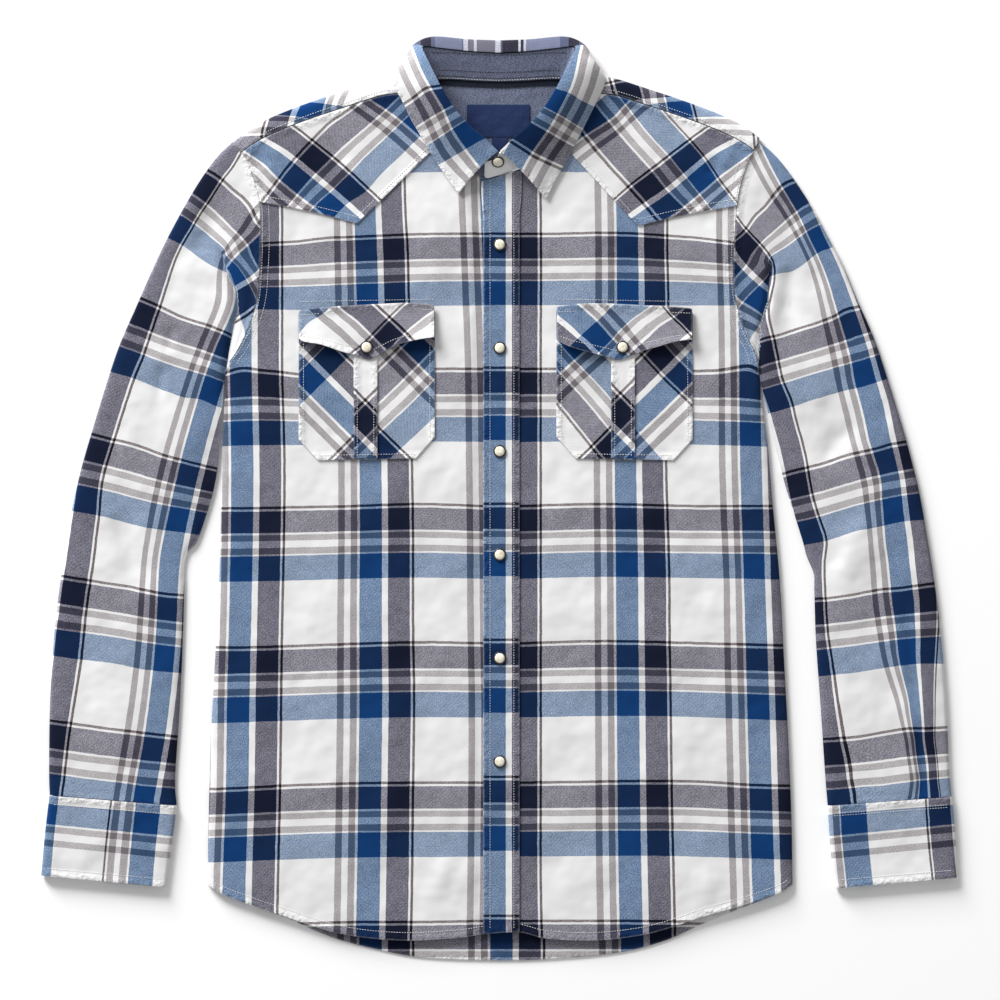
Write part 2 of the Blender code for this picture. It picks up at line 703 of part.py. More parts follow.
def pocket(side):
    """The patch pocket with two cut lower corners, its top edge under the flap."""
    centre = POCKETS[side][0]
    heights = spaced((POCKET_BOTTOM_Y, 0), (POCKET_BOTTOM_Y + POCKET_CORNER, 1), (POCKET_TOP_Y - 5, 5))
    rows = []
    for y in heights:
        cut = max(POCKET_CORNER - (y - POCKET_BOTTOM_Y), 0) * 0.9
        places = [centre + (POCKET_HALF_WIDTH - cut) * u for u in (-1, -0.5, 0, 0.5, 1)]
        rows.append([pocket_place(side, x, y, SEAM + OVERLAY) for x in places])
    return cloth("pocket_" + side, rows, OVERLAY)


def pocket_pleat(side):
    """The pleat strip down the middle of the pocket."""
    middle = POCKETS[side][1]
    rows = []
    for y in spaced((POCKET_BOTTOM_Y + 1, 0), (POCKET_TOP_Y - 8, 5)):
        places = (middle - PLEAT_HALF_WIDTH, middle + PLEAT_HALF_WIDTH)
        rows.append([pocket_place(side, x, y, 2 * (SEAM + OVERLAY)) for x in places])
    return cloth("pocket_pleat_" + side, rows, OVERLAY)


def flap_point(side, u, v):
    """A point on the flap's outer face: across u from -1 to 1 and down v from 0 to 1."""
    centre, _, point = POCKETS[side]
    x = centre + FLAP_HALF_WIDTH * u + (point - centre) * (1 - u * u) * v
    share = (0.5 + 0.5 * math.cos(math.pi * u)) ** 1.2
    drop = mix(FLAP_SIDE_DROP, FLAP_POINT_DROP, share)
    gape = FLAP_GAPE * v * v * math.sin(math.pi * min(abs(u) / 1.5, 0.5)) ** 2
    return pocket_place(side, x, POCKET_TOP_Y - drop * v, 3 * (SEAM + OVERLAY) + gape)


def pocket_flap(side):
    """The pointed flap that covers the pocket's mouth, held down by its snap."""
    across = [k / 6 for k in range(-6, 7)]
    rows = [[flap_point(side, u, v) for u in across] for v in (1, 0.8, 0.55, 0.25, 0)]
    return cloth("pocket_flap_" + side, rows, OVERLAY)


def turned(name, profile, finish):
    """A closed ring or button turned about +Z from (radius, height) points."""
    builder = bmesh.new()
    rings = []
    for radius, height in profile:
        if radius == 0:
            rings.append([builder.verts.new((0, 0, height))])
            continue
        angles = (2 * math.pi * k / SNAP_SIDES for k in range(SNAP_SIDES))
        rings.append([builder.verts.new((radius * math.cos(a), radius * math.sin(a), height)) for a in angles])
    closed = profile[0][0] > 0
    pairs = list(zip(rings, rings[1:] + rings[:1])) if closed else list(zip(rings, rings[1:]))
    for low, high in pairs:
        for k in range(SNAP_SIDES):
            n = (k + 1) % SNAP_SIDES
            corners = [low[k % len(low)], low[n % len(low)], high[n % len(high)], high[k % len(high)]]
            builder.faces.new(list(dict.fromkeys(corners)))
    bmesh.ops.recalc_face_normals(builder, faces=builder.faces)
    return add_object(name, builder, finish)


def snap(name, seat, tilt=0.0):
    """A pearl snap on its seat: a metal ring sewn through the cloth, and the cap inside it."""
    outer, inner, high = RING_RADIUS, RING_INNER, RING_HEIGHT
    ring = turned("snap_ring_" + name, ((inner, 0), (outer, 0), (outer, high * 0.7), (outer - 0.5, high), (inner, high)), "ring")
    low = 0.1
    cap_profile = ((0, low), (CAP_RADIUS, low), (CAP_RADIUS, 1.3), (CAP_RADIUS * 0.62, CAP_HEIGHT * 0.9), (0, CAP_HEIGHT))
    cap = turned("snap_cap_" + name, cap_profile, "pearl")
    place = Matrix.Translation(seat * MM) @ Matrix.Rotation(tilt, 4, "X")
    for piece in (ring, cap):
        piece.matrix_world = place


def snaps():
    gap = Vector((0, 0, 0.3))
    for k in range(FRONT_SNAPS):
        y = FIRST_SNAP_Y - k * SNAP_PITCH
        top = max(front_height(SNAP_X + d, y + e) for d in (-6, 0, 6) for e in (-6, 0, 6))
        snap(f"front_{k + 1}", Vector((SNAP_X, y, top + SEAM + OVERLAY)) + gap)
    for side in POCKETS:
        v = FLAP_SNAP_DROP / FLAP_POINT_DROP
        near = [flap_point(side, u, v + w) for u in (-0.1, 0, 0.1) for w in (-0.12, 0, 0.12)]
        seat = flap_point(side, 0, v)
        seat.z = max(point.z for point in near)
        snap("pocket_" + side, seat + gap)
    foot, roll = (Vector(COLLAR[0][COLLAR_COLUMNS.index(c)]) for c in ("foot_left", "roll"))
    share = (NECK_SNAP[1] - foot.y) / (roll.y - foot.y)
    slope = math.atan2(roll.z - foot.z, roll.y - foot.y)
    outward = Vector((0, -math.sin(slope), math.cos(slope)))
    seat = foot.lerp(roll, share) + outward * NECK_SNAP_LIFT
    seat.x = NECK_SNAP[0]
    snap("neck", seat, slope)


# --- Inside the neck ----------------------------------------------------------------------------


def lying(name, low_y, high_y, half_width, lift, wall, finish, middle=0.0):
    """Flat cloth inside the neck, between two edges given as functions of x."""
    rows = []
    for v in spaced((0, 0), (1, 3)):
        row = []
        for x in spaced((middle - half_width, 0), (middle + half_width, 8)):
            row.append((x, mix(low_y(x), high_y(x), v), lift + wall))
        rows.append(row)
    return cloth(name, rows, wall, finish)


def inside_neck():
    """The yoke's facing, the tape over the neck seam, and the two plain labels on the facing."""
    on_yoke = CLOTH + SEAM
    on_facing = on_yoke + OVERLAY + SEAM

    def seam_y(x):
        return stand_foot_y(x) - 0.2

    lying("yoke_facing", lambda x: FACING_LOW_Y, seam_y, FACING_HALF_WIDTH, on_yoke, OVERLAY, "chambray")
    tape = TAPE_HALF_WIDTH, on_facing, LABEL_WALL, "label"
    lying("neck_tape", lambda x: seam_y(x) - TAPE_HEIGHT, lambda x: seam_y(x) - 0.5, *tape)
    for name, (low_x, low_y, high_x, high_y) in (("label_blank", LABEL), ("size_tab", SIZE_TAB)):
        half, middle = (high_x - low_x) / 2, (high_x + low_x) / 2
        lying(name, lambda x: low_y, lambda x: high_y, half, on_facing, LABEL_WALL, "label", middle)


def centre_on_origin():
    """Move every piece alike, so that the origin is the middle of the shirt's underside."""
    bpy.context.view_layer.update()
    pieces = list(bpy.context.scene.objects)
    corners = [piece.matrix_world @ Vector(corner) for piece in pieces for corner in piece.bound_box]
    middle = [(min(axis) + max(axis)) / 2 for axis in list(zip(*corners))[:2]]
    for piece in pieces:
        piece.matrix_world = Matrix.Translation((-middle[0], -middle[1], 0)) @ piece.matrix_world


def main():
    for item in list(bpy.data.objects):
        bpy.data.objects.remove(item)
    back_panel()
    back_yoke()
    front_panel("right", UNDER_FRONT_EDGE)
    front_panel("left", UPPER_FRONT_EDGE)
    for side in ("right", "left"):
        front_yoke(side)
        pocket(side)
        pocket_pleat(side)
        pocket_flap(side)
    sleeve("right", SLEEVE_RIGHT)
    sleeve("left", SLEEVE_LEFT)
    cuff("right", CUFF_RIGHT)
    cuff("left", CUFF_LEFT)
    collar_stand()
    collar_leaf()
    placket()
    snaps()
    inside_neck()
    centre_on_origin()


main()
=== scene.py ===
"""A western snap shirt, pressed and laid flat on its back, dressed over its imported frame.

The shirt's front is up, its collar is towards +Y and the wearer's left side towards +X. Lengths are
millimetres until a mesh is made. The sections follow the shirt as it is sewn together.
"""

import math

import bmesh
import bpy
import numpy as np
from mathutils import Matrix, Vector
from mathutils.bvhtree import BVHTree


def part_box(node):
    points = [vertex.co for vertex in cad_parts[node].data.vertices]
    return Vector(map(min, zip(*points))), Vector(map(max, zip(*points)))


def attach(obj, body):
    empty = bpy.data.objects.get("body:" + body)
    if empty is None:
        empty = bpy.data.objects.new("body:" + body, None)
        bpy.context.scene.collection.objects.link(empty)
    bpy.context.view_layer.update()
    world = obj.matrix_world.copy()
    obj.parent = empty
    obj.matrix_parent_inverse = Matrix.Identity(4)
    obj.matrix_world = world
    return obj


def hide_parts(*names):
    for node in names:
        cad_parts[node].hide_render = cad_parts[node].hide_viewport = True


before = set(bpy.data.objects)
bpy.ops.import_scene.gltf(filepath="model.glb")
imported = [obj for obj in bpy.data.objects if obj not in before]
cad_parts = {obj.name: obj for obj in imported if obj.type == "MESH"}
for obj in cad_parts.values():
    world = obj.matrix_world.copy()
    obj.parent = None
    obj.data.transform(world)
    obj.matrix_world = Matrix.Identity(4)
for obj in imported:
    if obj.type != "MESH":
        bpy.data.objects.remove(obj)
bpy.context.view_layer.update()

# === Table, light and camera =====================================================================
# A shirt is shown on a white table, looked at from straight above. The light is a broad soft box
# beyond the wearer's right shoulder, with white walls all round that fill the shadows.

TABLE_SIZE, TABLE_DROP = 6000.0, 0.4
VIEW_WIDTH, VIEW_DISTANCE, SHIRT_LEVEL = 940.0, 10000.0, 5.0
VIEW_CENTRE, SENSOR_WIDTH, FAR_CLIP = (0.94, -1.22), 36.0, 100.0
LIGHT_PLACE, LIGHT_SIZE, LIGHT_POWER = (-4300.0, 6500.0, 2900.0), 3600.0, 1405.0
WALL_BRIGHTNESS = 0.46
TABLE_WHITE, TABLE_PALER = "#F4F4F4", "#FAFAFA"
MM = 0.001


def linear(colour):
    """A hex sRGB colour as linear red, green, blue and 1."""
    parts = [int(colour[k : k + 2], 16) / 255 for k in (1, 3, 5)]
    return (*(c / 12.92 if c <= 0.04045 else ((c + 0.055) / 1.055) ** 2.4 for c in parts), 1.0)


def add_node(tree, kind, inputs=(), **settings):
    """A node with its settings. Its inputs come in order or by key: values, sockets, or nodes that
    stand for their first output."""
    made = tree.nodes.new(kind)
    for name, value in settings.items():
        setattr(made, name, value)
    for key, value in inputs.items() if isinstance(inputs, dict) else enumerate(inputs):
        value = value.outputs[0] if isinstance(value, bpy.types.Node) else value
        if isinstance(value, bpy.types.NodeSocket):
            tree.links.new(value, made.inputs[key])
        else:
            made.inputs[key].default_value = value
    return made


def put(name, data):
    """A new object in the scene, made of this data."""
    made = bpy.data.objects.new(name, data)
    bpy.context.scene.collection.objects.link(made)
    return made


def surface(name, roughness, **sockets):
    """An empty material of this name, with its shader and its node tree."""
    made = bpy.data.materials.new(name)
    made.use_nodes = True
    shader = made.node_tree.nodes["Principled BSDF"]
    shader.inputs["Roughness"].default_value = roughness
    for key, value in sockets.items():
        shader.inputs[key.replace("_", " ")].default_value = value
    return made, made.node_tree, shader


# White laminate: plain and matt, so that it shows nothing but the shirt's soft shadow
laminate, tree, shader = surface("white laminate table", 0.9)
grain = add_node(tree, "ShaderNodeTexNoise", {"Scale": 3.0, "Detail": 2.0})
tone = add_node(
    tree, "ShaderNodeMix", {0: grain.outputs["Fac"], 6: linear(TABLE_WHITE), 7: linear(TABLE_PALER)},
    data_type="RGBA",
)
tree.links.new(tone.outputs[2], shader.inputs["Base Color"])

half = TABLE_SIZE / 2
corners = [
    (x * MM, y * MM, -TABLE_DROP * MM)
    for x, y in ((-half, -half), (half, -half), (half, half), (-half, half))
]
table_mesh = bpy.data.meshes.new("table")
table_mesh.from_pydata(corners, [], [(0, 1, 2, 3)])
table_mesh.materials.append(laminate)
table = put("table", table_mesh)

walls = bpy.data.worlds.new("white studio")
walls.use_nodes = True
walls.node_tree.nodes["Background"].inputs["Color"].default_value = (1, 1, 1, 1)
walls.node_tree.nodes["Background"].inputs["Strength"].default_value = WALL_BRIGHTNESS
bpy.context.scene.world = walls

soft_box = put("soft box", bpy.data.lights.new("soft box", "AREA"))
soft_box.data.energy, soft_box.data.size = LIGHT_POWER, LIGHT_SIZE * MM
soft_box.location = Vector(LIGHT_PLACE) * MM
soft_box.rotation_euler = (-Vector(LIGHT_PLACE)).to_track_quat("-Z", "Y").to_euler()
soft_box.visible_camera = False

camera = put("camera", bpy.data.cameras.new("camera"))
camera.data.sensor_width = SENSOR_WIDTH
camera.data.lens = SENSOR_WIDTH * VIEW_DISTANCE / VIEW_WIDTH
camera.data.clip_end = FAR_CLIP
camera.location = Vector((*VIEW_CENTRE, VIEW_DISTANCE + SHIRT_LEVEL)) * MM
bpy.context.scene.camera = camera
bpy.context.scene.view_settings.view_transform = "Standard"

# === Fronts ======================================================================================
# Two front panels of yarn-dyed plaid cotton, the wearer's left over the right. They fold under at
# the sides, run up to the shoulder seam and the neckline, and have a narrow turned hem below.

CLOTH, OVERLAY, SEAM = 1.2, 1.0, 0.4  # walls, and the gap between sewn layers
LOFT, FOLD_Z, ROLL = 5.8, 2.4, 13.0  # height inside the side folds and at them, and their run
LAP_DROP = CLOTH + SEAM
SHOULDER_Y, PIT_Y, HEM_SIDE_Y = 336.0, 119.0, -362.0
UPPER_FRONT_EDGE, UNDER_FRONT_EDGE = -13.5, 12.0
LAP_START, LAP_RUN = -27.0, 9.0  # where the under front begins to dip below the upper one
ORIGIN_SHIFT = (0.0, -0.75, 0.0)
RIM_REACH = 30.0  # no sewn edge is felt farther off than this
TURNED_EDGE, TURNED_ANGLE, SMOOTH_ANGLE = 0.3, 50.0, 55.0  # an edge's turn in walls, and degrees

SIDE_COLUMNS = ("y", "wearer_right", "wearer_left")
SIDE = (
    (-362, -274, 276), (-301, -273, 275), (-226, -271, 272), (-151, -267, 268), (-76, -263, 264),
    (-1, -261, 257), (56, -260, 252), (93, -258, 247), (119, -257, 244.5), (130, -253, 243),
    (140, -246, 240), (154, -238.5, 232.5), (170, -232, 227), (190, -227, 222), (216, -225, 220),
    (244, -224, 221), (280, -225, 224), (300, -230, 228), (321, -238, 235.5), (336, -250, 245),
)
# The fronts' hem: x, y
FRONT_HEM = (
    (-274, -362), (-262, -370), (-234, -381), (-201, -392), (-150, -408), (-93, -414.5), (-37, -412),
    (-9, -408), (20, -407), (43, -412.5), (90, -414.5), (132, -410), (160, -403), (189, -393),
    (231, -381), (264, -369.5), (276, -362),
)
# The fold over the shoulder: distance from the centre, y
SHOULDER_FOLD = (
    (68, 390.5), (76, 394), (88, 397), (102, 396.5), (113, 394.5), (140, 385.8), (171, 375.5),
    (197, 366), (217, 357.5), (233, 348.6), (243, 341), (251, 335),
)
SHOULDER_STRIP, NECK_HALF_WIDTH, TAB_SLOPE = 15.0, 71.0, 0.3

# Each row is one station of one half of the collar, from the centre front round to the centre back
COLLAR_COLUMNS = ("foot_right", "foot_left", "roll", "leaf_middle", "edge_right", "edge_left")
COLLAR = (
    ((6, 304.5, 7.0), (0, 305.2, 7.0), (1, 327, 20.5), (20, 311.5, 18), (38, 287.5, 8.9), (44.5, 282, 8.9)),
    ((20, 305, 7.0), (20, 312.5, 7.0), (13, 338.5, 22.5), (32, 328, 21), (49, 302.5, 8.9), (53, 299.5, 8.9)),
    ((42, 315, 7.2), (42, 320, 7.2), (26, 349.5, 25), (46, 342, 24), (61.5, 321, 8.8), (63.5, 318, 8.8)),
    ((57, 329, 7.2), (57, 331, 7.2), (38.5, 363, 27), (60, 357, 27), (73, 340.5, 8.8), (74.5, 339.5, 8.8)),
    ((65, 342, 7.2), (65, 342, 7.2), (46, 373.5, 28), (70, 370, 28), (83, 357.5, 8.8), (83.7, 357.5, 8.8)),
    ((69.5, 356, 7.2), (69.5, 356, 7.2), (53.5, 386, 28), (80, 384, 28), (91, 374.5, 8.8), (92, 374.5, 8.8)),
    ((70.5, 369, 7.2), (70.5, 369, 7.2), (60.5, 399.5, 26), (84, 398, 27), (98, 387, 9.0), (98, 387, 9.0)),
    (
        (68.5, 381, 6.6), (68.5, 381, 6.6), (67.5, 414, 21.5), (86, 412, 23), (99.5, 397, 9.0),
        (99.5, 397, 9.0),
    ),
    (
        (62.5, 391, 5.4), (62.5, 391, 5.4), (71.5, 422.5, 16.5), (85, 421.5, 15), (95, 405, 5.0),
        (95, 405, 5.0),
    ),
    ((55, 395.3, 4.2), (55, 395.3, 4.2), (70, 426, 13), (85, 437, 5), (84, 407, 1.4), (84, 407, 1.4)),
    ((42, 395, 3.8), (42, 395, 3.8), (56, 424.6, 11.5), (66, 455, -0.6), (66, 398.5, 1.3), (66, 398.5, 1.3)),
    (
        (20, 393.6, 3.7), (20, 393.6, 3.7), (28, 421.6, 10.5), (30, 453, -1.4), (30, 396.2, 1.3),
        (30, 396.2, 1.3),
    ),
    ((0, 393, 3.6), (0, 393, 3.6), (0, 420, 10), (0, 452, -1.4), (0, 396, 1.3), (0, 396, 1.3)),
)

# Folds and creases of the upper cloth, soft ridges and troughs: x and y of one end, x and y of
# the other, half width, height. Each fades out over FOLD_FADE of its length, partly past its end.
FOLD_PAST, FOLD_FADE = 0.15, 0.4
FOLDS = (
    (-278, 276, -260, 223, 9, -1.6), (-291, 262, -273, 208, 12, 1.2), (257, 216, 270, 176, 10, -1.8),
    (258, 291, 279, 247, 8, -1.3), (270, 232, 290, 186, 13, 1.2), (-60, 268, -64, 190, 14, 0.8),
    (-264, 292, -304, 150, 20, -1.5), (-288, 246, -322, 120, 20, 1.3), (-266, 250, -252, 168, 16, 1.5),
    (-356, -22, -326, -80, 20, -1.6), (-340, -12, -306, -62, 18, 1.8), (-372, -130, -352, -240, 22, 1.0),
    (257, 262, 251, 165, 16, 1.5), (287, 226, 264, 158, 20, -1.4), (330, 92, 300, 36, 20, -1.5),
    (312, -84, 352, -28, 20, 2.0), (338, -96, 374, -40, 18, -1.3), (384, -110, 394, -270, 16, 1.6),
    (-38, -340, -66, -384, 18, 1.2), (-196, 130, -232, 50, 24, 1.0), (200, 132, 226, 60, 24, 1.0),
    (-120, -60, -150, -260, 40, 0.8), (150, -80, 170, -300, 40, 0.8), (-70, 290, -66, 190, 20, 0.7),
    (72, 290, 66, 190, 20, 0.7), (-300, 236, -309, 186, 9, -1.5), (-307, 162, -312, 138, 6, -1.3),
    (-317, 124, -320, 94, 6, -1.2), (-361, -18, -341, -68, 9, -1.6), (-281, 252, -282, 232, 9, -1.0),
    (273, 225, 274, 150, 9, -1.4), (339, 75, 301, 36, 9, -1.6), (325, -38, 350, -20, 8, 1.5),
    (318, -52, 296, -72, 8, -1.8), (382, -94, 393, -205, 7, -1.3), (394, -205, 400, -272, 6, -1.8),
    (-31, -330, -56, -386, 9, -1.1), (-187, 272, -188, 242, 10, -0.9), (196, 272, 197, 242, 10, -0.9),
    (200, -352, 192, -376, 9, 1.0), (-229, 326, -225, 310, 6, -1.2), (-216, 316, -210, 300, 6, 1.0),
    (203, 322, 200, 304, 6, -1.2), (216, 328, 212, 312, 5, 1.0),
)

# One repeat of the plaid, from its fine dark line: (width in mm, yarn), across the cloth to the
# wearer's left, and down it
STRIPES_ACROSS = (
    (1.2, "dark"), (50.5, "white"), (6.1, "grey"), (5.8, "white"), (6.2, "grey"), (2.5, "white"),
    (21.1, "blue"), (6.0, "white"), (20.4, "navy"), (2.1, "white"), (1.2, "dark"),
)
STRIPES_DOWN = (
    (1.2, "dark"), (2.2, "white"), (20.6, "navy"), (2.3, "white"), (5.2, "grey"), (7.0, "white"),
    (5.7, "grey"), (1.9, "white"), (23.0, "blue"), (59.4, "white"), (1.2, "dark"),
)
# Each yarn's colour, and its share of what shows where it crosses another
YARNS = {
    "white": ("#DBDEDF", 0.5), "grey": ("#6B7076", 0.5), "blue": ("#043D72", 0.5),
    # Slate and mist, at the end of the next line, are painted shade: pale yarns darkened and blued for the
    # back of the collar.
    "navy": ("#0B1A33", 0.52), "dark": ("#080910", 0.5), "slate_shade": ("#4A5A72", 0.5), "mist_shade": ("#76859A", 0.5),
    # The next yarn is painted light: a white paler than the plaid's own, for the snap tab where it faces away
    # from the lamp.
    "lit_white": ("#F2F3F4", 0.5),
}

# Where the plaid's lines lie on each front: (distance along the repeat in mm, places it passes)
FRONT_LINES_ACROSS = {
    "right": (
        (-50.8, ((-254, -113), (-256, -188), (-257, -268), (-260, -358))),
        (0, ((-204, 267), (-204, 235), (-204, 159), (-204, 119), (-202, 47), (-204, -113), (-205, -188),
            (-206, -268), (-208, -358))),
        (51.7, ((-155, 235),)),
        (123.1, ((-88, 267), (-86, 235), (-85, 188), (-83, 150), (-82, 37), (-81, -38), (-81, -113),
            (-80, -188), (-81, -268), (-82, -358))),
        (174.8, ((-30, -358), (-30, -113))),
    ),
    "left": (
        (0, ((39, 267), (39, 159), (39, 28), (39, -113), (39, -268), (39, -358))),
        (123.1, ((158, 267), (158, 235), (159, 188), (157, 28), (160, -113), (161, -188), (162, -268),
            (164, -358))),
        (174.8, ((204, 258), (204, 235), (211, -80))),
        (195.5, ((230, -80), (233, -188), (235, -268), (237, -339), (238, -367))),
    ),
}
FRONT_LINES_DOWN = {
    "right": (
        (0, ((-223, 241), (-204, 242), (-187, 243), (-164, 246), (-140, 247), (-117, 248), (-93, 249),
            (-55, 250), (-14, 250))),
        (129.7, ((-255, 120), (-243, 124), (-225, 122), (-204, 120), (-189, 118), (-55, 123), (-14, 123))),
        (259.4, ((-260, -8), (-234, -8), (-187, -7), (-140, -6), (-74, -4), (-14, -6))),
        (389.2, ((-265, -139), (-243, -139), (-206, -138), (-149, -136), (-74, -134), (-14, -135))),
        (518.9, ((-270, -272), (-243, -271), (-206, -269), (-149, -267), (-74, -266), (-14, -266))),
        (648.6, ((-131, -397), (-74, -397), (-14, -396))),
    ),
    "left": (
        (0, ((20, 250), (57, 250), (95, 251), (133, 250), (161, 248), (189, 246), (220, 242))),
        (129.7, ((20, 123), (53, 123), (189, 121), (208, 122), (227, 125), (238, 126), (245, 121))),
        (259.4, ((20, -6), (95, -4), (189, -6), (258, -6))),
        (389.2, ((20, -135), (95, -133), (189, -135), (264, -137))),
        (518.9, ((20, -266), (95, -265), (189, -265), (236, -268), (274, -269))),
        (648.6, ((20, -396), (133, -396))),
    ),
}


def hermite(table, key, column=1):
    """The smooth curve through one column of a table whose first column rises, read at key."""
    keys, values = (np.array([row[k] for row in table], float) for k in (0, column))
    low, high = np.maximum(np.arange(len(keys)) - 1, 0), np.minimum(np.arange(len(keys)) + 1, len(keys) - 1)
    slopes = (values[high] - values[low]) / (keys[high] - keys[low])
    key = np.clip(key, keys[0], keys[-1])
    i = np.clip(np.searchsorted(keys, key, side="right") - 1, 0, len(keys) - 2)
    step = keys[i + 1] - keys[i]
    t = (key - keys[i]) / step
    rise = t * t * (3 - 2 * t)
    bend = t * (1 - t) * (slopes[i] * (1 - t) - slopes[i + 1] * t)
    return values[i] + (values[i + 1] - values[i]) * rise + step * bend


def mix(a, b, t):
    return a + (b - a) * t


def ease(t):
    t = np.clip(t, 0.0, 1.0)
    return t * t * (3 - 2 * t)


def round_over(t):
    """A quarter of a circle: steep at 0 and level from 1 on."""
    return np.sqrt(1 - (1 - np.clip(t, 0.0, 1.0)) ** 2)


def side_x(y, side):
    return hermite(SIDE, y, SIDE_COLUMNS.index("wearer_" + side))


def shoulder_fold_y(x):
    return hermite(SHOULDER_FOLD, np.abs(x))


def shoulder_seam_y(x):
    return shoulder_fold_y(x) - SHOULDER_STRIP


def armhole_top_y(side):
    """Where the armhole's line meets the shoulder seam, found by closing in on it."""
    y = SHOULDER_Y - SHOULDER_STRIP
    for _ in range(12):
        y = mix(y, shoulder_seam_y(side_x(y, side)) - SEAM, 0.6)
    return float(y)


def folds(x, y):
    """Height that the creases add to the upper cloth at a place on the shirt."""
    total = np.zeros(np.broadcast(x, y).shape)
    for x0, y0, x1, y1, half_width, height in FOLDS:
        ax, ay = x1 - x0, y1 - y0
        t = ((x - x0) * ax + (y - y0) * ay) / (ax * ax + ay * ay)
        off = np.hypot(x - x0 - ax * t, y - y0 - ay * t) / half_width
        fade = ease((t + FOLD_PAST) / FOLD_FADE) * ease((1 + FOLD_PAST - t) / FOLD_FADE)
        total = total + height * np.exp(-off * off) * fade
    return total


def front_height(x, y):
    """Outer face of the front panels above the table."""
    inside = np.minimum(x - side_x(y, "right"), side_x(y, "left") - x)
    edge = mix(FOLD_Z, LOFT, round_over(np.minimum(y - PIT_Y, SHOULDER_Y - y) / ROLL))
    soft = round_over(inside / ROLL)
    return mix(edge, LOFT, soft) + folds(x, y) * np.where(y > PIT_Y, 1.0, soft)


def neck_line(side, outward, count=241):
    """Points outside the neck seam, from above the shoulder to the centre front."""
    column = COLLAR_COLUMNS.index("foot_" + side)
    stations = np.array([row[column][:2] for row in reversed(COLLAR)], float)
    place = np.linspace(0.5, 1.0, count) * (len(stations) - 1)
    i = np.minimum(place.astype(int), len(stations) - 2)
    along = stations[i + 1] - stations[i]
    normal = np.stack([-along[:, 1], along[:, 0]], 1) / np.linalg.norm(along, axis=1, keepdims=True)
    return stations[i] + along * (place - i)[:, None] + normal * outward


def front_top_y(x, side):
    """Upper edge of a front panel at x: the shoulder seam, then the neckline below the stand."""
    x = np.asarray(x, float)
    clearance = CLOTH + SEAM
    from_centre = x if side == "left" else -x
    line = neck_line(side, clearance)
    nearest = line[np.abs(from_centre[..., None] - line[:, 0]).argmin(-1), 1]
    neck = np.minimum(nearest, float(shoulder_seam_y(NECK_HALF_WIDTH)) - 2 * SEAM)
    tab = line[-1, 1] + (from_centre - line[-1, 0]) * (TAB_SLOPE if side == "left" else 0)
    y = np.where(from_centre < line[-1, 0], tab, neck)
    return np.where(from_centre >= NECK_HALF_WIDTH + clearance, shoulder_seam_y(x) - 2 * SEAM, y)


def pinned(lines):
    """A smooth function of x and y that takes each line's value along its points: the bending of a
    thin plate, which may miss a point a little rather than kink."""
    pins = np.array([(x, y, value) for value, places in lines for x, y in places], float)
    scale, slack = 100.0, 2e-3

    def kernel(ax, ay):
        square = ((ax[:, None] - pins[:, 0]) ** 2 + (ay[:, None] - pins[:, 1]) ** 2) / scale**2
        return square * np.log(square + 1e-12) / 2

    ones = np.ones(len(pins))
    plane = np.stack([ones, pins[:, 0] / scale, pins[:, 1] / scale], 1)
    plate = kernel(pins[:, 0], pins[:, 1]) + np.eye(len(pins)) * slack
    system = np.block([[plate, plane], [plane.T, np.zeros((3, 3))]])
    weights = np.linalg.solve(system, np.concatenate([pins[:, 2], np.zeros(3)]))

    def value(x, y):
        ax, ay = np.ravel(x), np.ravel(y)
        tilt = weights[-3] + (weights[-2] * ax + weights[-1] * ay) / scale
        return (kernel(ax, ay) @ weights[:-3] + tilt).reshape(np.shape(x))

    return value


def woven(points, lines_across, lines_down):
    """Each point's place across and down the plaid, from the lines that lie near it."""
    x, y = points[..., 0], points[..., 1]
    return np.stack([pinned(lines_across)(x, y), pinned(lines_down)(x, y)], -1)


# Crossing yarns mix as the eye sees them, then darken by channel as dyed cotton does
EYE_GAMMA, DYE_POWERS = 2.2, (2.2, 2.45, 2.5)
# How the finish shows: the plaid's wander in mm, its noises' scales per mm, and the ribs' spacing
# over both directions in mm with the waver of their run
WANDER, WANDER_SCALE, WASH_SCALE, SLUB_FINE, SLUB_LONG = 0.7, 0.11, 0.16, 0.9, 0.14
RIB_SPACING, RIB_WAVER = 4.0, 5.0
# How far slubs, grain, ribs and the wash move each crossing from one yarn's colour to the other's
UNEVEN_SHARE, GRAIN_SHARE, RIB_SHARE, WASH_SHARE, EVEN = 0.16, 0.9, 0.028, 0.14, 0.57
# Sewn edges in mm: how far puckers reach in, and the turned fold's pale worn line
PUCKER_REACH, WORN_EDGE, WORN_SHARE, WORN_WHITE = 9.0, (0.3, 1.6), 0.10, "#E6E6EA"
# Heights that the bump gives, in m, and its noises' scales per m
CRUMPLE_LIFT, PUCKER_LIFT, GRAIN_LIFT, RIB_LIFT = 0.0050, 0.0022, 0.00009, 0.00001
CRUMPLE_SCALE, PUCKER_SCALE, BUMP_STRENGTH = 24.0, 230.0, 0.8


def yarn_ramp(tree, place, stripes):
    """The colour of the yarn at a place along a repeat, with its share in alpha."""
    repeat = sum(width for width, _ in stripes)
    share = add_node(tree, "ShaderNodeMath", (place, repeat), operation="DIVIDE")
    turn = add_node(tree, "ShaderNodeMath", (share,), operation="FRACT")
    ramp = add_node(tree, "ShaderNodeValToRGB", (turn,))
    ramp.color_ramp.interpolation = "CONSTANT"
    start = 0.0
    stops = ramp.color_ramp.elements
    for k, (width, yarn) in enumerate(stripes):
        stop = stops[k] if k < 2 else stops.new(start / repeat)
        stop.position = start / repeat
        colour, cover = YARNS[yarn]
        stop.color = (*linear(colour)[:3], cover)
        start += width
    seen = add_node(tree, "ShaderNodeGamma", (ramp.outputs["Color"], 1 / EYE_GAMMA))
    return seen.outputs[0], ramp.outputs["Alpha"]


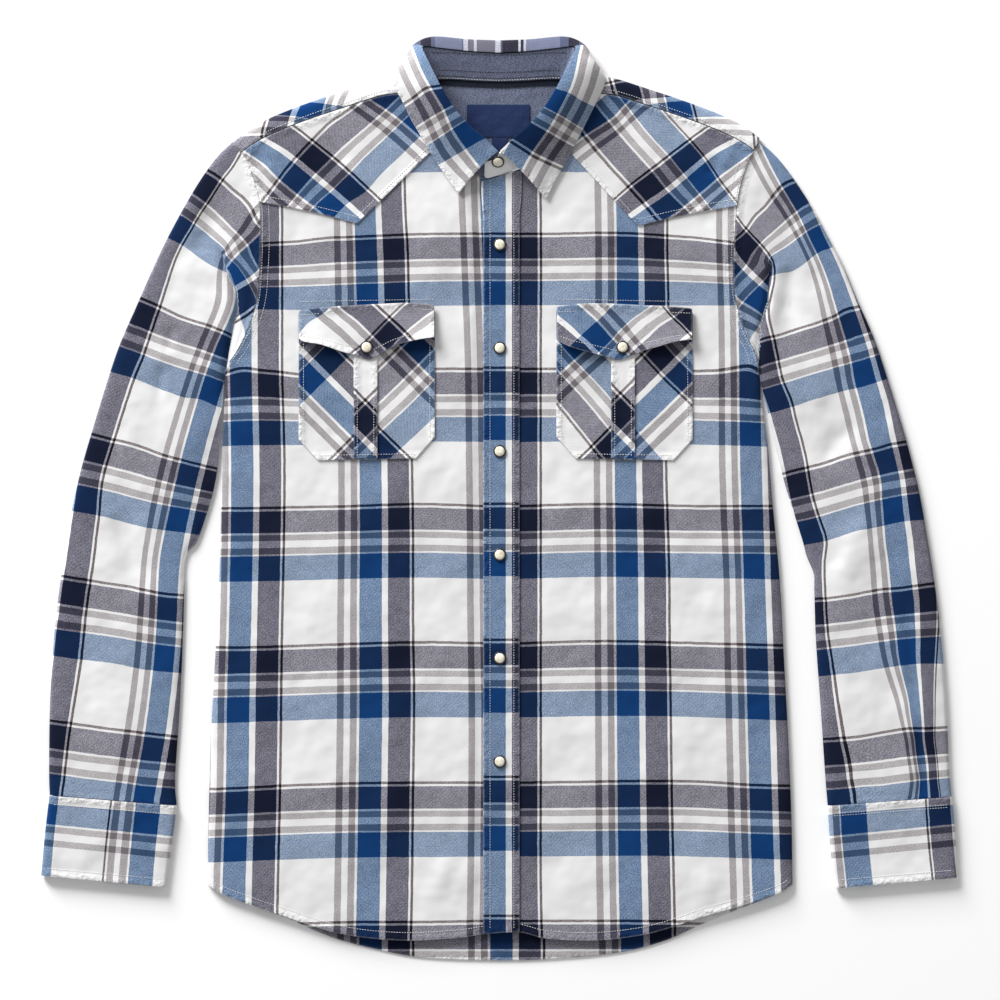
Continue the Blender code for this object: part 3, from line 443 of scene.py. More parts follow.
def place_on_cloth(tree):
    """Each spot's place on the cut cloth, in mm."""
    weave = add_node(tree, "ShaderNodeUVMap", uv_map="weave")
    return add_node(tree, "ShaderNodeVectorMath", {0: weave, 3: 1 / MM}, operation="SCALE")


def dress(tree, shader, colour, lift):
    """Gives a cloth its colour, and its relief from a height in m."""
    bump = add_node(tree, "ShaderNodeBump", {"Height": lift, "Distance": 1.0, "Strength": BUMP_STRENGTH})
    tree.links.new(colour, shader.inputs["Base Color"])
    tree.links.new(bump.outputs[0], shader.inputs["Normal"])


def plaid(name, across=STRIPES_ACROSS, down=STRIPES_DOWN):
    """Yarn-dyed cotton twill: each yarn half covers the one it crosses, so every crossing has a
    colour of its own. The light washed finish gives the eye slubs, soft mottling and no gloss. The
    twill's ribs are 0.4 mm apart, drawn here at 2.8 mm so that they show."""
    made, tree, shader = surface(name, 0.88, Specular_IOR_Level=0.1, Sheen_Weight=0.05, Sheen_Roughness=0.5)
    place = place_on_cloth(tree)
    drift = add_node(tree, "ShaderNodeTexNoise", {"Vector": place, "Scale": WANDER_SCALE, "Detail": 1.0})
    drift_mm = add_node(
        tree, "ShaderNodeVectorMath", (drift.outputs["Color"], (0.5, 0.5, 0.5)), operation="SUBTRACT",
    )
    moved = add_node(
        tree, "ShaderNodeVectorMath", (drift_mm, (WANDER, WANDER, 0), place), operation="MULTIPLY_ADD",
    )
    split = add_node(tree, "ShaderNodeSeparateXYZ", (moved,))
    warp, warp_share = yarn_ramp(tree, split.outputs[0], across)
    weft, weft_share = yarn_ramp(tree, split.outputs[1], down)

    def slubs(stretch):
        fine = add_node(tree, "ShaderNodeVectorMath", (place, stretch), operation="MULTIPLY")
        return add_node(
            tree, "ShaderNodeTexNoise", {"Vector": fine, "Scale": 1.0, "Detail": 2.0},
        ).outputs["Fac"]

    flat = add_node(tree, "ShaderNodeSeparateXYZ", (place,))
    slope = add_node(tree, "ShaderNodeMath", (flat, flat.outputs[1]), operation="ADD")
    grain = slubs((1.0, 1.0, 0))
    ribs = add_node(tree, "ShaderNodeMath", (slope, 2 * math.pi / RIB_SPACING), operation="MULTIPLY")
    uneven_ribs = add_node(tree, "ShaderNodeMath", (grain, RIB_WAVER, ribs), operation="MULTIPLY_ADD")
    rib = add_node(tree, "ShaderNodeMath", (uneven_ribs,), operation="SINE")
    uneven = add_node(
        tree, "ShaderNodeMath", (slubs((SLUB_FINE, SLUB_LONG, 0)), slubs((SLUB_LONG, SLUB_FINE, 0))),
        operation="SUBTRACT",
    )
    washed = add_node(tree, "ShaderNodeTexNoise", {"Vector": place, "Scale": WASH_SCALE, "Detail": 3.0})
    balance = add_node(tree, "ShaderNodeMath", (weft_share, warp_share), operation="SUBTRACT")
    factor = add_node(tree, "ShaderNodeMath", (balance, 0.5), operation="ADD")
    shares = (
        (uneven, UNEVEN_SHARE), (grain, GRAIN_SHARE), (rib, RIB_SHARE), (washed.outputs["Fac"], WASH_SHARE),
    )
    for source, amount in shares:
        factor = add_node(tree, "ShaderNodeMath", (source, amount, factor), operation="MULTIPLY_ADD")
    centred = add_node(tree, "ShaderNodeMath", (factor, EVEN), operation="SUBTRACT", use_clamp=True)
    crossed = add_node(tree, "ShaderNodeMix", {0: centred, 6: warp, 7: weft}, data_type="RGBA")
    channels = add_node(tree, "ShaderNodeSeparateXYZ", (crossed.outputs[2],))
    dyed = [
        add_node(tree, "ShaderNodeMath", (channels.outputs[k], power), operation="POWER")
        for k, power in enumerate(DYE_POWERS)
    ]
    colour = add_node(tree, "ShaderNodeCombineXYZ", dyed)

    # Sewn edges: the cloth puckers beside them, and its turned fold is worn a little paler
    rim = add_node(tree, "ShaderNodeAttribute", attribute_name="rim")
    near = add_node(
        tree, "ShaderNodeMapRange", (rim.outputs["Fac"], 0.0, PUCKER_REACH, 1.0, 0.0),
        interpolation_type="SMOOTHSTEP",
    )
    worn = add_node(
        tree, "ShaderNodeMapRange", (rim.outputs["Fac"], WORN_EDGE[0], WORN_EDGE[1], WORN_SHARE, 0.0),
    )
    faded = add_node(tree, "ShaderNodeMix", {0: worn, 6: colour, 7: linear(WORN_WHITE)}, data_type="RGBA")
    solid = add_node(tree, "ShaderNodeTexCoord")
    pucker = add_node(
        tree, "ShaderNodeTexNoise", {"Vector": solid.outputs["Object"], "Scale": PUCKER_SCALE, "Detail": 1.0},
    )
    crumple = add_node(
        tree, "ShaderNodeTexNoise",
        {"Vector": solid.outputs["Object"], "Scale": CRUMPLE_SCALE, "Detail": 2.0, "Roughness": 0.45},
    )
    lift = add_node(tree, "ShaderNodeMath", (crumple.outputs["Fac"], CRUMPLE_LIFT), operation="MULTIPLY")
    seam = add_node(tree, "ShaderNodeMath", (pucker.outputs["Fac"], near), operation="MULTIPLY")
    for source, amount in ((seam, PUCKER_LIFT), (grain, GRAIN_LIFT), (rib, RIB_LIFT)):
        lift = add_node(tree, "ShaderNodeMath", (source, amount, lift), operation="MULTIPLY_ADD")
    dress(tree, shader, faded.outputs[2], lift)
    return made


def cloth(name, points, weave, wall, finish, rim, closed=False, keep=None, finish_at=None):
    """A piece of cloth from a grid of points in mm on its outer face, with its wall inside.

    Rows and columns run so that columns cross rows gives the outward side. weave is each point's
    place on the cut cloth, rim its distance from a sewn edge. closed joins the last column to the
    first. keep and finish_at choose faces, and their material, by row and column.
    """
    rows, columns = points.shape[:2]
    index = np.arange(rows * columns).reshape(rows, columns)
    quads = np.stack([index[:-1, :-1], index[:-1, 1:], index[1:, 1:], index[1:, :-1]], -1)
    chosen = np.ones(quads.shape[:2], bool) if keep is None else keep
    mesh = bpy.data.meshes.new(name)
    mesh.from_pydata(((points + ORIGIN_SHIFT) * MM).reshape(-1, 3).tolist(), [], quads[chosen].tolist())
    corners = np.empty(len(mesh.loops), int)
    mesh.loops.foreach_get("vertex_index", corners)
    layer = mesh.uv_layers.new(name="weave")
    layer.data.foreach_set("uv", (weave.reshape(-1, 2)[corners] * MM).ravel())
    edge = mesh.attributes.new("rim", "FLOAT", "POINT")
    edge.data.foreach_set("value", np.clip(rim, 0, RIM_REACH).ravel())
    for each in finish if isinstance(finish, tuple) else (finish,):
        mesh.materials.append(each)
    if finish_at is not None:
        mesh.polygons.foreach_set("material_index", finish_at[chosen].ravel())
    builder = bmesh.new()
    builder.from_mesh(mesh)
    bmesh.ops.delete(builder, geom=[vert for vert in builder.verts if not vert.link_faces], context="VERTS")
    if closed:
        bmesh.ops.remove_doubles(builder, verts=builder.verts, dist=0.01 * MM)
    builder.to_mesh(mesh)
    builder.free()
    bare = put(name + "_bare", mesh)
    thick = bare.modifiers.new("wall", "SOLIDIFY")
    thick.thickness, thick.offset = wall * MM, -1
    soft = bare.modifiers.new("turned edge", "BEVEL")
    soft.width, soft.segments = TURNED_EDGE * wall * MM, 2
    soft.limit_method, soft.angle_limit = "ANGLE", math.radians(TURNED_ANGLE)
    done = bpy.data.meshes.new_from_object(bare.evaluated_get(bpy.context.evaluated_depsgraph_get()))
    done.name = name
    places = np.empty(len(done.vertices) * 3)
    done.vertices.foreach_get("co", places)
    places[2::3] = np.maximum(places[2::3], 0.0)
    done.vertices.foreach_set("co", places)
    done.shade_smooth()
    done.set_sharp_from_angle(angle=math.radians(SMOOTH_ANGLE))
    bpy.data.objects.remove(bare)
    return put(name, done)


def flip(grid):
    """The grid with its columns the other way round."""
    return grid[:, ::-1]


def sewn(made):
    """Stands for its CAD node on the root body, as a sheet of the given cut."""
    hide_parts(made.name[: -len("_cloth")])
    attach(made, "root")


plaid_cotton = plaid("plaid cotton twill, washed")
for side, centre_x in (("right", UNDER_FRONT_EDGE), ("left", UPPER_FRONT_EDGE)):
    top_y = armhole_top_y(side)
    u = np.concatenate([[0, 0.002, 0.005, 0.01, 0.016, 0.024, 0.033, 0.044], np.linspace(0.056, 1, 66)])
    edge_y = np.linspace(HEM_SIDE_Y, top_y, 180)[:, None]
    r = (edge_y - HEM_SIDE_Y) / (top_y - HEM_SIDE_Y)
    hem_x, x, top_x = (mix(side_x(y, side), centre_x, u) for y in (HEM_SIDE_Y, edge_y, top_y))
    low, high = hermite(FRONT_HEM, hem_x), front_top_y(top_x, side)
    y = mix(low, high, r)
    drop = LAP_DROP * ease((x - LAP_START) / LAP_RUN) if side == "right" else 0.0
    points = np.stack([x, y, front_height(x, y) - drop], -1)
    weave = woven(points, FRONT_LINES_ACROSS[side], FRONT_LINES_DOWN[side])
    to_armhole = np.where(y > PIT_Y, np.abs(x - side_x(y, side)), RIM_REACH)
    rim = np.minimum(np.minimum(y - low, high - y + 2), np.minimum(np.abs(x - centre_x), to_armhole))
    if side == "left":
        points, weave, rim = flip(points), flip(weave), flip(rim)
    made = cloth(f"front_panel_{side}_cloth", points, weave, CLOTH, plaid_cotton, rim)
    sewn(made)

# === Pockets =====================================================================================
# A patch pocket on each breast, cut on the bias in two mirrored halves under a straight-cut pleat
# strip, and closed by a pointed flap. Sewn down the sides and along the bottom with cream thread.

# x of the bag's centre, of the pleat and of the flap's point
POCKETS = {"right": (-124.3, -125.4, -124.5), "left": (118.0, 116.6, 115.6)}
POCKET_TOP_Y, POCKET_BOTTOM_Y = 181.6, 37.6
POCKET_SLOPE, POCKET_HALF_WIDTH, POCKET_CORNER, CORNER_SLANT = 0.018, 64.0, 20.0, 0.9
PLEAT_HALF_WIDTH = 11.2
FLAP_HALF_WIDTH, FLAP_SIDE_DROP, FLAP_POINT_DROP, FLAP_GAPE = 63.5, 31.0, 50.0, 4.2
# Across a flap from the wearer's right: its top edge's rise in mm, then its lower edge's reach
# from the side's drop (0) to the point's (1)
FLAP_COLUMNS = ("across", "rise", "reach")
FLAPS = {
    "right": (
        (-1, -3.6, -0.1), (-0.95, -2.4, 0.04), (-0.67, -0.6, 0.23), (-0.36, 0.8, 0.6), (-0.17, 1.2, 0.78),
        (-0.02, 1.5, 0.97),
        (0.06, 1.8, 1.0), (0.23, 2.0, 0.7), (0.39, 2.3, 0.4), (0.6, 2.5, 0.17), (0.88, 1.2, 0.0),
        (1, 0.0, -0.03),
    ),
    "left": (
        (-1, -1.8, 0.05), (-0.9, -0.6, 0.28), (-0.66, 1.6, 0.55), (-0.41, 2.2, 0.74), (-0.2, 2.2, 0.92),
        (-0.05, 2.0, 1.03),
        (0.155, 1.6, 0.79), (0.31, 1.2, 0.56), (0.52, 1.0, 0.34), (0.75, 0.2, 0.09), (0.95, -0.6, -0.03),
        (1, -1.2, -0.03),
    ),
}

# How the plaid lies on each bias piece: its lines across, then its lines down
BAG_LINES = {
    ("right", "outer"): (
        ((93.4, ((-160.7, 110.4), (-141.9, 91.6))), (72.4, ((-175.3, 95.9), (-138.2, 58.8)))),
        (
            (46.1, ((-176.2, 130.7), (-188, 118.9))), (69.1, ((-160.7, 115.1), (-177.7, 98.2))),
            (129.7, ((-146.6, 50.3), (-138.2, 58.8))),
        ),
    ),
    ("right", "inner"): (
        ((72.4, ((-74.7, 126.4), (-62, 113.7))), (0.0, ((-111.9, 66.3), (-83.7, 39)))),
        (
            (0.0, ((-109.2, 128.5), (-94.9, 142.8))), (46.1, ((-61.1, 111.4), (-111.9, 62.5))),
            (69.1, ((-61.1, 77.5), (-93.1, 47.5))),
        ),
    ),
    ("left", "inner"): (
        ((72.4, ((70.5, 131.1), (90.2, 148))), (0.0, ((86.5, 49.3), (103.4, 66.3)))),
        (
            (69.1, ((103, 129.8), (94.9, 137.7))), (46.1, ((71.4, 131.1), (102.5, 98.2))),
            (0.0, ((54.5, 88.8), (86.5, 49.3))),
        ),
    ),
    ("left", "outer"): (
        (
            (99.3, ((145.5, 113.5), (128.8, 96.8))), (72.4, ((164.8, 94.2), (126.9, 57.8))),
            (0.0, ((216.2, 42.8), (188.9, 15.5))),
        ),
        ((0.0, ((153.2, 115.1), (179.5, 89.8), (132.5, 137.7))), (-60.6, ((132.5, 60.6), (146.6, 44.6)))),
    ),
}
PLEAT_LINES = {
    "right": (
        ((0.0, ((-126, 93.5), (-114.7, 82.2))), (-51.0, ((-137.2, 31.5), (-126, 20.2)))),
        ((0.0, ((-126, 93.5), (-137.2, 82.2))), (51.0, ((-114.7, 31.5), (-126, 20.2)))),
    ),
    "left": (
        ((0.0, ((113.7, 100.1), (125, 88.8))), (-51.0, ((102.5, 38.1), (113.7, 26.8)))),
        ((0.0, ((113.7, 100.1), (102.5, 88.8))), (51.0, ((125, 38.1), (113.7, 26.8)))),
    ),
}
FLAP_LINES = {
    "right": (
        (
            (0.0, ((-115.6, 183.8), (-102.5, 171.5), (-86.9, 157), (-80.8, 150.4))),
            (26.3, ((-152.3, 181.4), (-144.8, 174.4), (-135.4, 167.8), (-127.8, 160.3), (-120.3, 152.8))),
            (38.5, ((-168.3, 180), (-165.4, 174.8), (-156, 168.3), (-145.7, 158.9), (-135.4, 148.5))),
            (44.2, ((-177.7, 178.1), (-170.1, 171.1), (-158.9, 161.2), (-148.5, 152.8), (-136.3, 141.5))),
        ),
        (
            (-60.6, ((-188, 155.6), (-182.4, 163.1), (-176.7, 168.3), (-169.2, 172), (-163.6, 176.7),
                (-158.9, 180.5))),
            (0.0, ((-90.2, 184.2), (-103.4, 171.5), (-111.9, 163.1), (-120.3, 154.2), (-130.7, 144.3),
                (-137.2, 139.6))),
            (24.0, ((-63, 177.2), (-76.1, 167.8), (-84.6, 160.7), (-91.2, 154.6), (-97.8, 148),
                (-102.5, 142.4))),
            (31.5, ((-63, 168.3), (-76.1, 158.4), (-82.7, 153.2))), (37.5, ((-63, 153.7), (-74.3, 150.9))),
        ),
    ),
    "left": (
        (
            (0.0, ((154.6, 180.9), (162.6, 171.5), (170.1, 164.5), (178.6, 155.6))),
            (51.7, ((100.6, 184.7), (107.2, 177.7), (113.7, 171.5), (120.3, 164))),
            (63.9, ((85.5, 182.8), (92.1, 177.2), (98.7, 170.6), (106.2, 162.1))),
            (72.3, ((72.4, 184.7), (79, 179.1), (85.5, 173.4), (92.1, 167.3), (98.7, 160.3), (106.2, 151.3))),
            (93.4, ((55.5, 173.4), (62, 168.7), (71.4, 160.3), (76.1, 155.1), (85.5, 147.1), (93.1, 139.6))),
            (99.4, ((54.5, 167.3), (62, 161.2), (71.4, 153.2), (80.8, 146.2))),
        ),
        (
            (69.1, ((109, 183.8), (102.5, 177.2), (93.1, 167.8), (85.5, 161.7), (78, 154.6), (73.3, 149.9))),
            (46.1, ((142.9, 182.4), (132.5, 174.4), (123.1, 167.8), (113.7, 159.3), (107.2, 151.8),
                (94.9, 139.6))),
            (38.5, ((152.3, 181.9), (141.9, 174.8), (132.5, 168.7), (125, 161.2), (115.6, 152.8))),
            (24.0, ((165.4, 170.6), (157, 165.9), (147.6, 158.4), (140.1, 150.9), (126, 139.1),
                (118.4, 131.6))),
            (2.4, ((179.5, 156), (173.9, 151.8))), (1.2, ((179.5, 149.9), (173.9, 148.5))),
        ),
    ),
}
# The right flap's own cut of the plaid, where a broad white ground follows the grey pair
STRIPES_FLAP = (*STRIPES_DOWN[:7], (84.3, "white"), (1.2, "dark"))
flap_cotton = plaid("plaid cotton twill, flap cut", across=STRIPES_FLAP)


def pocket_place(side, x, y, lift):
    """A point on a pocket piece: x, y as cut, hung a little lower on its outer side."""
    outward = (x - POCKETS[side][0]) * (1 if side == "left" else -1)
    y = y - outward * POCKET_SLOPE
    return np.stack([x, y, front_height(x, y) + lift], -1)


def flap_point(side, u, v):
    """A point on the flap's outer face: across u from -1 to 1 and down v from 0 to 1. Its free
    edge gapes most at the two ends."""
    centre, _, point = POCKETS[side]
    x = centre + FLAP_HALF_WIDTH * u + (point - centre) * (1 - u * u) * v
    drop = mix(FLAP_SIDE_DROP, FLAP_POINT_DROP, hermite(FLAPS[side], u, FLAP_COLUMNS.index("reach")))
    rise = hermite(FLAPS[side], u, FLAP_COLUMNS.index("rise")) * (1 - v)
    gape = FLAP_GAPE * v * v * np.sin(np.pi * np.minimum(np.abs(u) / 1.5, 0.5)) ** 2
    return pocket_place(side, x, POCKET_TOP_Y - drop * v + rise, 3 * (SEAM + OVERLAY) + gape)


for side in POCKETS:
    centre, pleat, _ = POCKETS[side]
    corner_y = POCKET_BOTTOM_Y + POCKET_CORNER
    y = np.concatenate(
        [np.linspace(POCKET_BOTTOM_Y, corner_y, 9), np.linspace(corner_y + 3, POCKET_TOP_Y - 5, 40)]
    )[:, None]
    cut = np.maximum(POCKET_CORNER - (y - POCKET_BOTTOM_Y), 0) * CORNER_SLANT
    share = np.concatenate([np.linspace(-1, -0.03, 28), np.linspace(0.03, 1, 28)])
    x = centre + (POCKET_HALF_WIDTH - cut) * share
    points = pocket_place(side, x, y + 0 * x, SEAM + OVERLAY)
    weave = np.empty((*x.shape, 2))
    inward = share if side == "right" else -share
    for part, where in (("inner", inward > 0), ("outer", inward < 0)):
        weave[:, where] = woven(points[:, where], *BAG_LINES[side, part])
    rim = np.minimum(POCKET_HALF_WIDTH - np.abs(x - centre), y - POCKET_BOTTOM_Y)
    made = cloth(f"pocket_{side}_cloth", points, weave, OVERLAY, plaid_cotton, rim)
    sewn(made)

    y = np.linspace(POCKET_BOTTOM_Y + 1, POCKET_TOP_Y - 8, 46)[:, None]
    x = np.linspace(pleat - PLEAT_HALF_WIDTH, pleat + PLEAT_HALF_WIDTH, 9)
    points = pocket_place(side, x + 0 * y, y + 0 * x, 2 * (SEAM + OVERLAY))
    weave = woven(points, *PLEAT_LINES[side])
    rim = PLEAT_HALF_WIDTH - np.abs(x - pleat) + 0 * y
    made = cloth(f"pocket_pleat_{side}_cloth", points, weave, OVERLAY, plaid_cotton, rim)
    sewn(made)

    u, v = np.linspace(-1, 1, 57), np.linspace(1, 0, 24)[:, None]
    points = flap_point(side, u + 0 * v, v + 0 * u)
    weave = woven(points, *FLAP_LINES[side])
    rim = np.minimum((1 - np.abs(u)) * FLAP_HALF_WIDTH, np.minimum(v * 40, (1 - v) * 45))
    flap_cut = flap_cotton if side == "right" else plaid_cotton
    made = cloth(f"pocket_flap_{side}_cloth", points, weave, OVERLAY, flap_cut, rim)
    sewn(made)

# === Back ========================================================================================
# One back panel sewn below a yoke that folds over both shoulders to the front. Both lie flat on the
# table. From above, the yoke's strips show and the back's hem where it hangs below the fronts'.

# The back's hem: x, y
BACK_HEM = (
    (-274, -362), (-262, -370), (-234, -381), (-201, -393), (-159, -411), (-121, -421.5), (-74, -430.5),
    (0, -433.3), (57, -431.5), (118, -425), (160, -413.5), (189, -400), (231, -383), (264, -370), (276, -362),
)
BACK_YOKE_SIDE_Y, BACK_YOKE_POINT_Y, BACK_YOKE_HALF_WIDTH, SHOULDER_HALF_WIDTH = 277.0, 250.0, 222.0, 251.0
PLAID_START_X, PLAID_START_Y = 204.0, 250.0  # where the back's plaid has its first fine dark lines
# The strips in front of the shoulder folds: the plaid's lines across, then its lines down
SHOULDER_LINES = {
    "right": (
        (
            (24.0, ((-247.2, 337), (-243.5, 330.4))),
            (0.0, ((-223, 341.7), (-222, 347.3), (-220.7, 353), (-219.2, 355.8))),
            (-23.7, ((-197.9, 354.8), (-196.5, 360.5), (-194.1, 366.1))),
            (-29.7, ((-191.8, 356.3), (-189.9, 362.4), (-187.1, 368.5))),
            (-50.8, ((-166.8, 361.9), (-165, 368), (-162.1, 376))),
            (-59.2, ((-157.9, 365.2), (-157.4, 371.8), (-153.7, 379.8))),
            (-71.4, ((-147.1, 368), (-145.7, 372.7), (-140.1, 384.5))),
            (-108.0, ((-98.7, 388.7), (-100.6, 379.3))),
        ),
        (
            (24.0, ((-240.6, 341.2), (-232.2, 341.7), (-223.7, 341.7))),
            (31.5, ((-234.1, 349.2), (-223.7, 349.7), (-205.9, 349.7), (-198.3, 350.6))),
            (38.5, ((-217.1, 356), (-205.9, 355.8), (-196.5, 355.3), (-188.9, 354.4))),
            (46.1, ((-203, 361), (-189.9, 359.7), (-182.4, 358.6), (-175.8, 357.2))),
            (69.1, ((-174.8, 372.9), (-163.6, 371.8), (-156, 370.4), (-145.7, 369.4))),
            (80.0, ((-111.9, 384.9), (-121.3, 375.5))),
        ),
    ),
    "left": (
        (
            (0.0, ((105.8, 387.8), (107.2, 383), (110, 376))),
            (24.0, ((132.1, 386.3), (133.5, 380.2), (135.4, 371.8))),
            (31.5, ((141, 383), (141.9, 378.3))), (38.5, ((147.6, 380.7), (148.5, 375.5))),
            (46.1, ((156.5, 377.9), (157.9, 372.7), (159.8, 361.4))),
            (69.1, ((180, 369.4), (181.4, 363.3), (183.3, 355.8))),
            (72.9, ((184.7, 367.1), (186.6, 359.5), (188, 352.5))), (128.5, ((238.3, 340.8), (239.2, 330.4))),
        ),
        (
            (118.8, ((106.2, 388.2), (111.9, 390.1), (120.3, 391.2))),
            (99.4, ((119.4, 373.6), (129.7, 375.5), (137.2, 376.5), (146.6, 377.1), (155.1, 377.8))),
            (93.4, ((132.5, 369.4), (141.9, 370.8), (151.3, 372.2), (158.9, 373.2), (169.2, 374.1))),
            (72.3, ((170.1, 357.7), (183.3, 359.1), (198.3, 359.5), (209.6, 359.5))),
            (63.6, ((193.6, 352.2), (207.7, 352.5), (223.7, 352.2))),
            (57.8, ((195.5, 347.8), (207.7, 347.5), (221.8, 347.3), (231.2, 346.9))),
            (51.7, ((209.6, 342.6), (221.8, 342.2), (237.8, 341.7))),
        ),
    ),
}
# The left yoke and shoulder strip are cut where a second dark line follows the blue
STRIPES_LEFT_CUT = (*STRIPES_DOWN[:9], (1.6, "white"), (2.2, "dark"), (55.6, "white"), (1.2, "dark"))
left_yoke_cotton = plaid("plaid cotton twill, yoke cut", down=STRIPES_LEFT_CUT)
left_strip_cotton = plaid("plaid cotton twill, shoulder cut", across=STRIPES_LEFT_CUT, down=STRIPES_ACROSS)


def back_seam_y(x):
    return mix(BACK_YOKE_POINT_Y, BACK_YOKE_SIDE_Y, np.minimum(np.abs(x) / BACK_YOKE_HALF_WIDTH, 1))


def stand_foot_y(x):
    """The stand's lower edge behind the neck, where x runs over its flat part."""
    feet = [row[0][:2] for row in reversed(COLLAR[-4:])]
    return hermite(feet, np.abs(x))


u = np.concatenate([[0, 0.006, 0.015, 0.026], np.linspace(0.04, 0.96, 60), [0.974, 0.985, 0.994, 1]])
edge_y = np.linspace(HEM_SIDE_Y, BACK_YOKE_SIDE_Y, 90)[:, None]
r = (edge_y - HEM_SIDE_Y) / (BACK_YOKE_SIDE_Y - HEM_SIDE_Y)
hem_x, x, top_x = (
    mix(side_x(y, "right"), side_x(y, "left"), u) for y in (HEM_SIDE_Y, edge_y, BACK_YOKE_SIDE_Y)
)
low, high = hermite(BACK_HEM, hem_x), back_seam_y(top_x) - SEAM
y = mix(low, high, r)
points = np.stack([x, y, np.full(x.shape, CLOTH)], -1)
weave = np.stack([x + PLAID_START_X, PLAID_START_Y - y], -1)
made = cloth("back_panel_cloth", points, weave, CLOTH, plaid_cotton, np.minimum(y - low, high - y))
sewn(made)

neck = (NECK_HALF_WIDTH + 3) / SHOULDER_HALF_WIDTH
half_u = np.concatenate([[neck], np.linspace(0.31, 0.97, 44), [0.985, 1]])
inner_u = np.array([-0.9, -0.5, 0, 0.5, 0.9]) * neck
u = np.concatenate([-half_u[::-1], inner_u, half_u])
last_y, top = SHOULDER_Y - 1.6, LOFT + SEAM + OVERLAY
grid, weave_rows = [], []
for edge_y in np.concatenate([np.linspace(BACK_YOKE_SIDE_Y, 326, 10), [331, last_y]]):
    r = (edge_y - BACK_YOKE_SIDE_Y) / (last_y - BACK_YOKE_SIDE_Y)
    low_x, x, top_x = (
        np.where(u > 0, side_x(y, "left"), side_x(y, "right")) * np.abs(u)
        for y in (BACK_YOKE_SIDE_Y, edge_y, last_y)
    )
    reach = np.where(np.abs(u) >= neck, shoulder_fold_y(top_x) - 1.2, stand_foot_y(top_x) - 2 * SEAM)
    y = mix(back_seam_y(low_x), reach, r)
    grid.append(np.stack([x, y, 0 * x], -1))
    weave_rows.append(y - shoulder_fold_y(top_x))
flat_rows = len(grid)
# Over the shoulder's fold: station, share of the strip's width, share of its height
WRAP = ((0, 0.0, 0.12), (1, -0.02, 0.4), (2, 0.07, 0.72), (3, 0.3, 0.93), (4, 0.62, 1.0), (5, 1.0, 1.0))
for place in np.linspace(0, WRAP[-1][0], 16):
    share, level = hermite(WRAP, place, 1), hermite(WRAP, place, 2)
    y_left, y_right = (
        mix(SHOULDER_Y, armhole_top_y(side), max(float(share), 0)) for side in ("left", "right")
    )
    x = np.where(u > 0, side_x(y_left, "left"), side_x(y_right, "right")) * np.abs(u)
    y = shoulder_fold_y(x) - share * SHOULDER_STRIP
    grid.append(np.stack([x, y, (top + folds(x, y)) * level], -1))
    weave_rows.append(np.full(x.shape, float(share) * SHOULDER_STRIP))
points, length = np.array(grid), np.array(weave_rows)
x, y = points[..., 0], points[..., 1]
weave = np.stack([x + PLAID_START_X, PLAID_START_Y - y], -1)
for side, there in (("right", x < -NECK_HALF_WIDTH), ("left", x > NECK_HALF_WIDTH)):
    there[:flat_rows] = False
    weave[there] = woven(points[there], *SHOULDER_LINES[side])
keep = np.ones((len(grid) - 1, len(u) - 1), bool)
keep[flat_rows - 1 :, len(half_u) - 1 : len(half_u) + len(inner_u)] = False
left_half = np.zeros(keep.shape, int)
left_half[:, len(half_u) + 2 :] = 1
made = cloth(
    "back_yoke_cloth", flip(points), flip(weave), CLOTH, (plaid_cotton, left_strip_cotton),
    flip(SHOULDER_STRIP - length), keep=flip(keep), finish_at=flip(left_half),
)
sewn(made)

# === Front yokes =================================================================================
# The pointed western yokes, one on each front from the shoulder seam down, cut on the bias and
# topstitched along their lower edges.

# The lower edge: y at the armhole, the point's x and y, and x and y beside the neck
YOKES = {"right": (279.6, 133.5, 259.4, 58, 333), "left": (276, 130.7, 257.1, 61, 332.5)}
YOKE_BOW = 1.4  # how far the curve to the point bows out
BY_THE_NECK = (79, 77, 75, 73, 71.8, 70.5, 68)  # columns closed up where the edge turns
YOKE_LINES_ACROSS = {
    "right": (
        (-50.8, ((-241, 329), (-223, 317), (-208, 302), (-186, 284), (-171, 273))),
        (-29.7, ((-223, 336), (-189, 313), (-171, 298), (-139, 271))),
        (0, ((-193, 351), (-176, 338), (-150, 317), (-141, 309), (-113, 283))),
        (72.4, ((-119, 375), (-98, 361), (-70, 337))),
    ),
    "left": (
        (-52.2, ((241, 327), (222, 313), (190, 287), (162, 265))),
        (-26.6, ((123, 266), (159, 291), (203, 327), (225, 339))),
        (0, ((194, 349), (179, 338), (149, 315), (124, 296), (106, 280))),
        (51.7, ((121, 351),)),
        (63.9, ((115, 356),)),
        (72.4, ((116, 369), (82, 343))),
    ),
}
YOKE_LINES_DOWN = {
    "right": (
        (0, ((-141, 367), (-160, 354), (-176, 338), (-192, 321), (-208, 301), (-222, 282))),
        (24.4, ((-174, 305),)),
        (45.1, ((-157, 291),)),
        (69.1, ((-142, 279), (-126, 289), (-112, 305), (-93, 323), (-81, 335))),
    ),
    "left": (
        (0, ((87, 332), (107, 309), (137, 276), (148, 263))),
        (24.4, ((102, 356), (142, 310), (158, 290), (178, 270))),
        (45.1, ((121, 368), (137, 347), (158, 324), (175, 303), (198, 274))),
        (70.5, ((157, 361), (179, 337), (194, 319), (207, 299), (225, 276))),
    ),
}


def yoke_edge_y(x, side):
    """Lower edge of a front yoke: a shallow curve to the point, then a diagonal to the neck."""
    corner_y, point_x, point_y, neck_x, neck_y = YOKES[side]
    x = np.abs(x)
    t = (x - point_x) / (abs(float(side_x(corner_y, side))) - point_x)
    outer = mix(point_y, corner_y, t) + YOKE_BOW * np.sin(np.pi * np.clip(t, 0, 1))
    return np.where(x > point_x, outer, mix(neck_y, point_y, (x - neck_x) / (point_x - neck_x)))


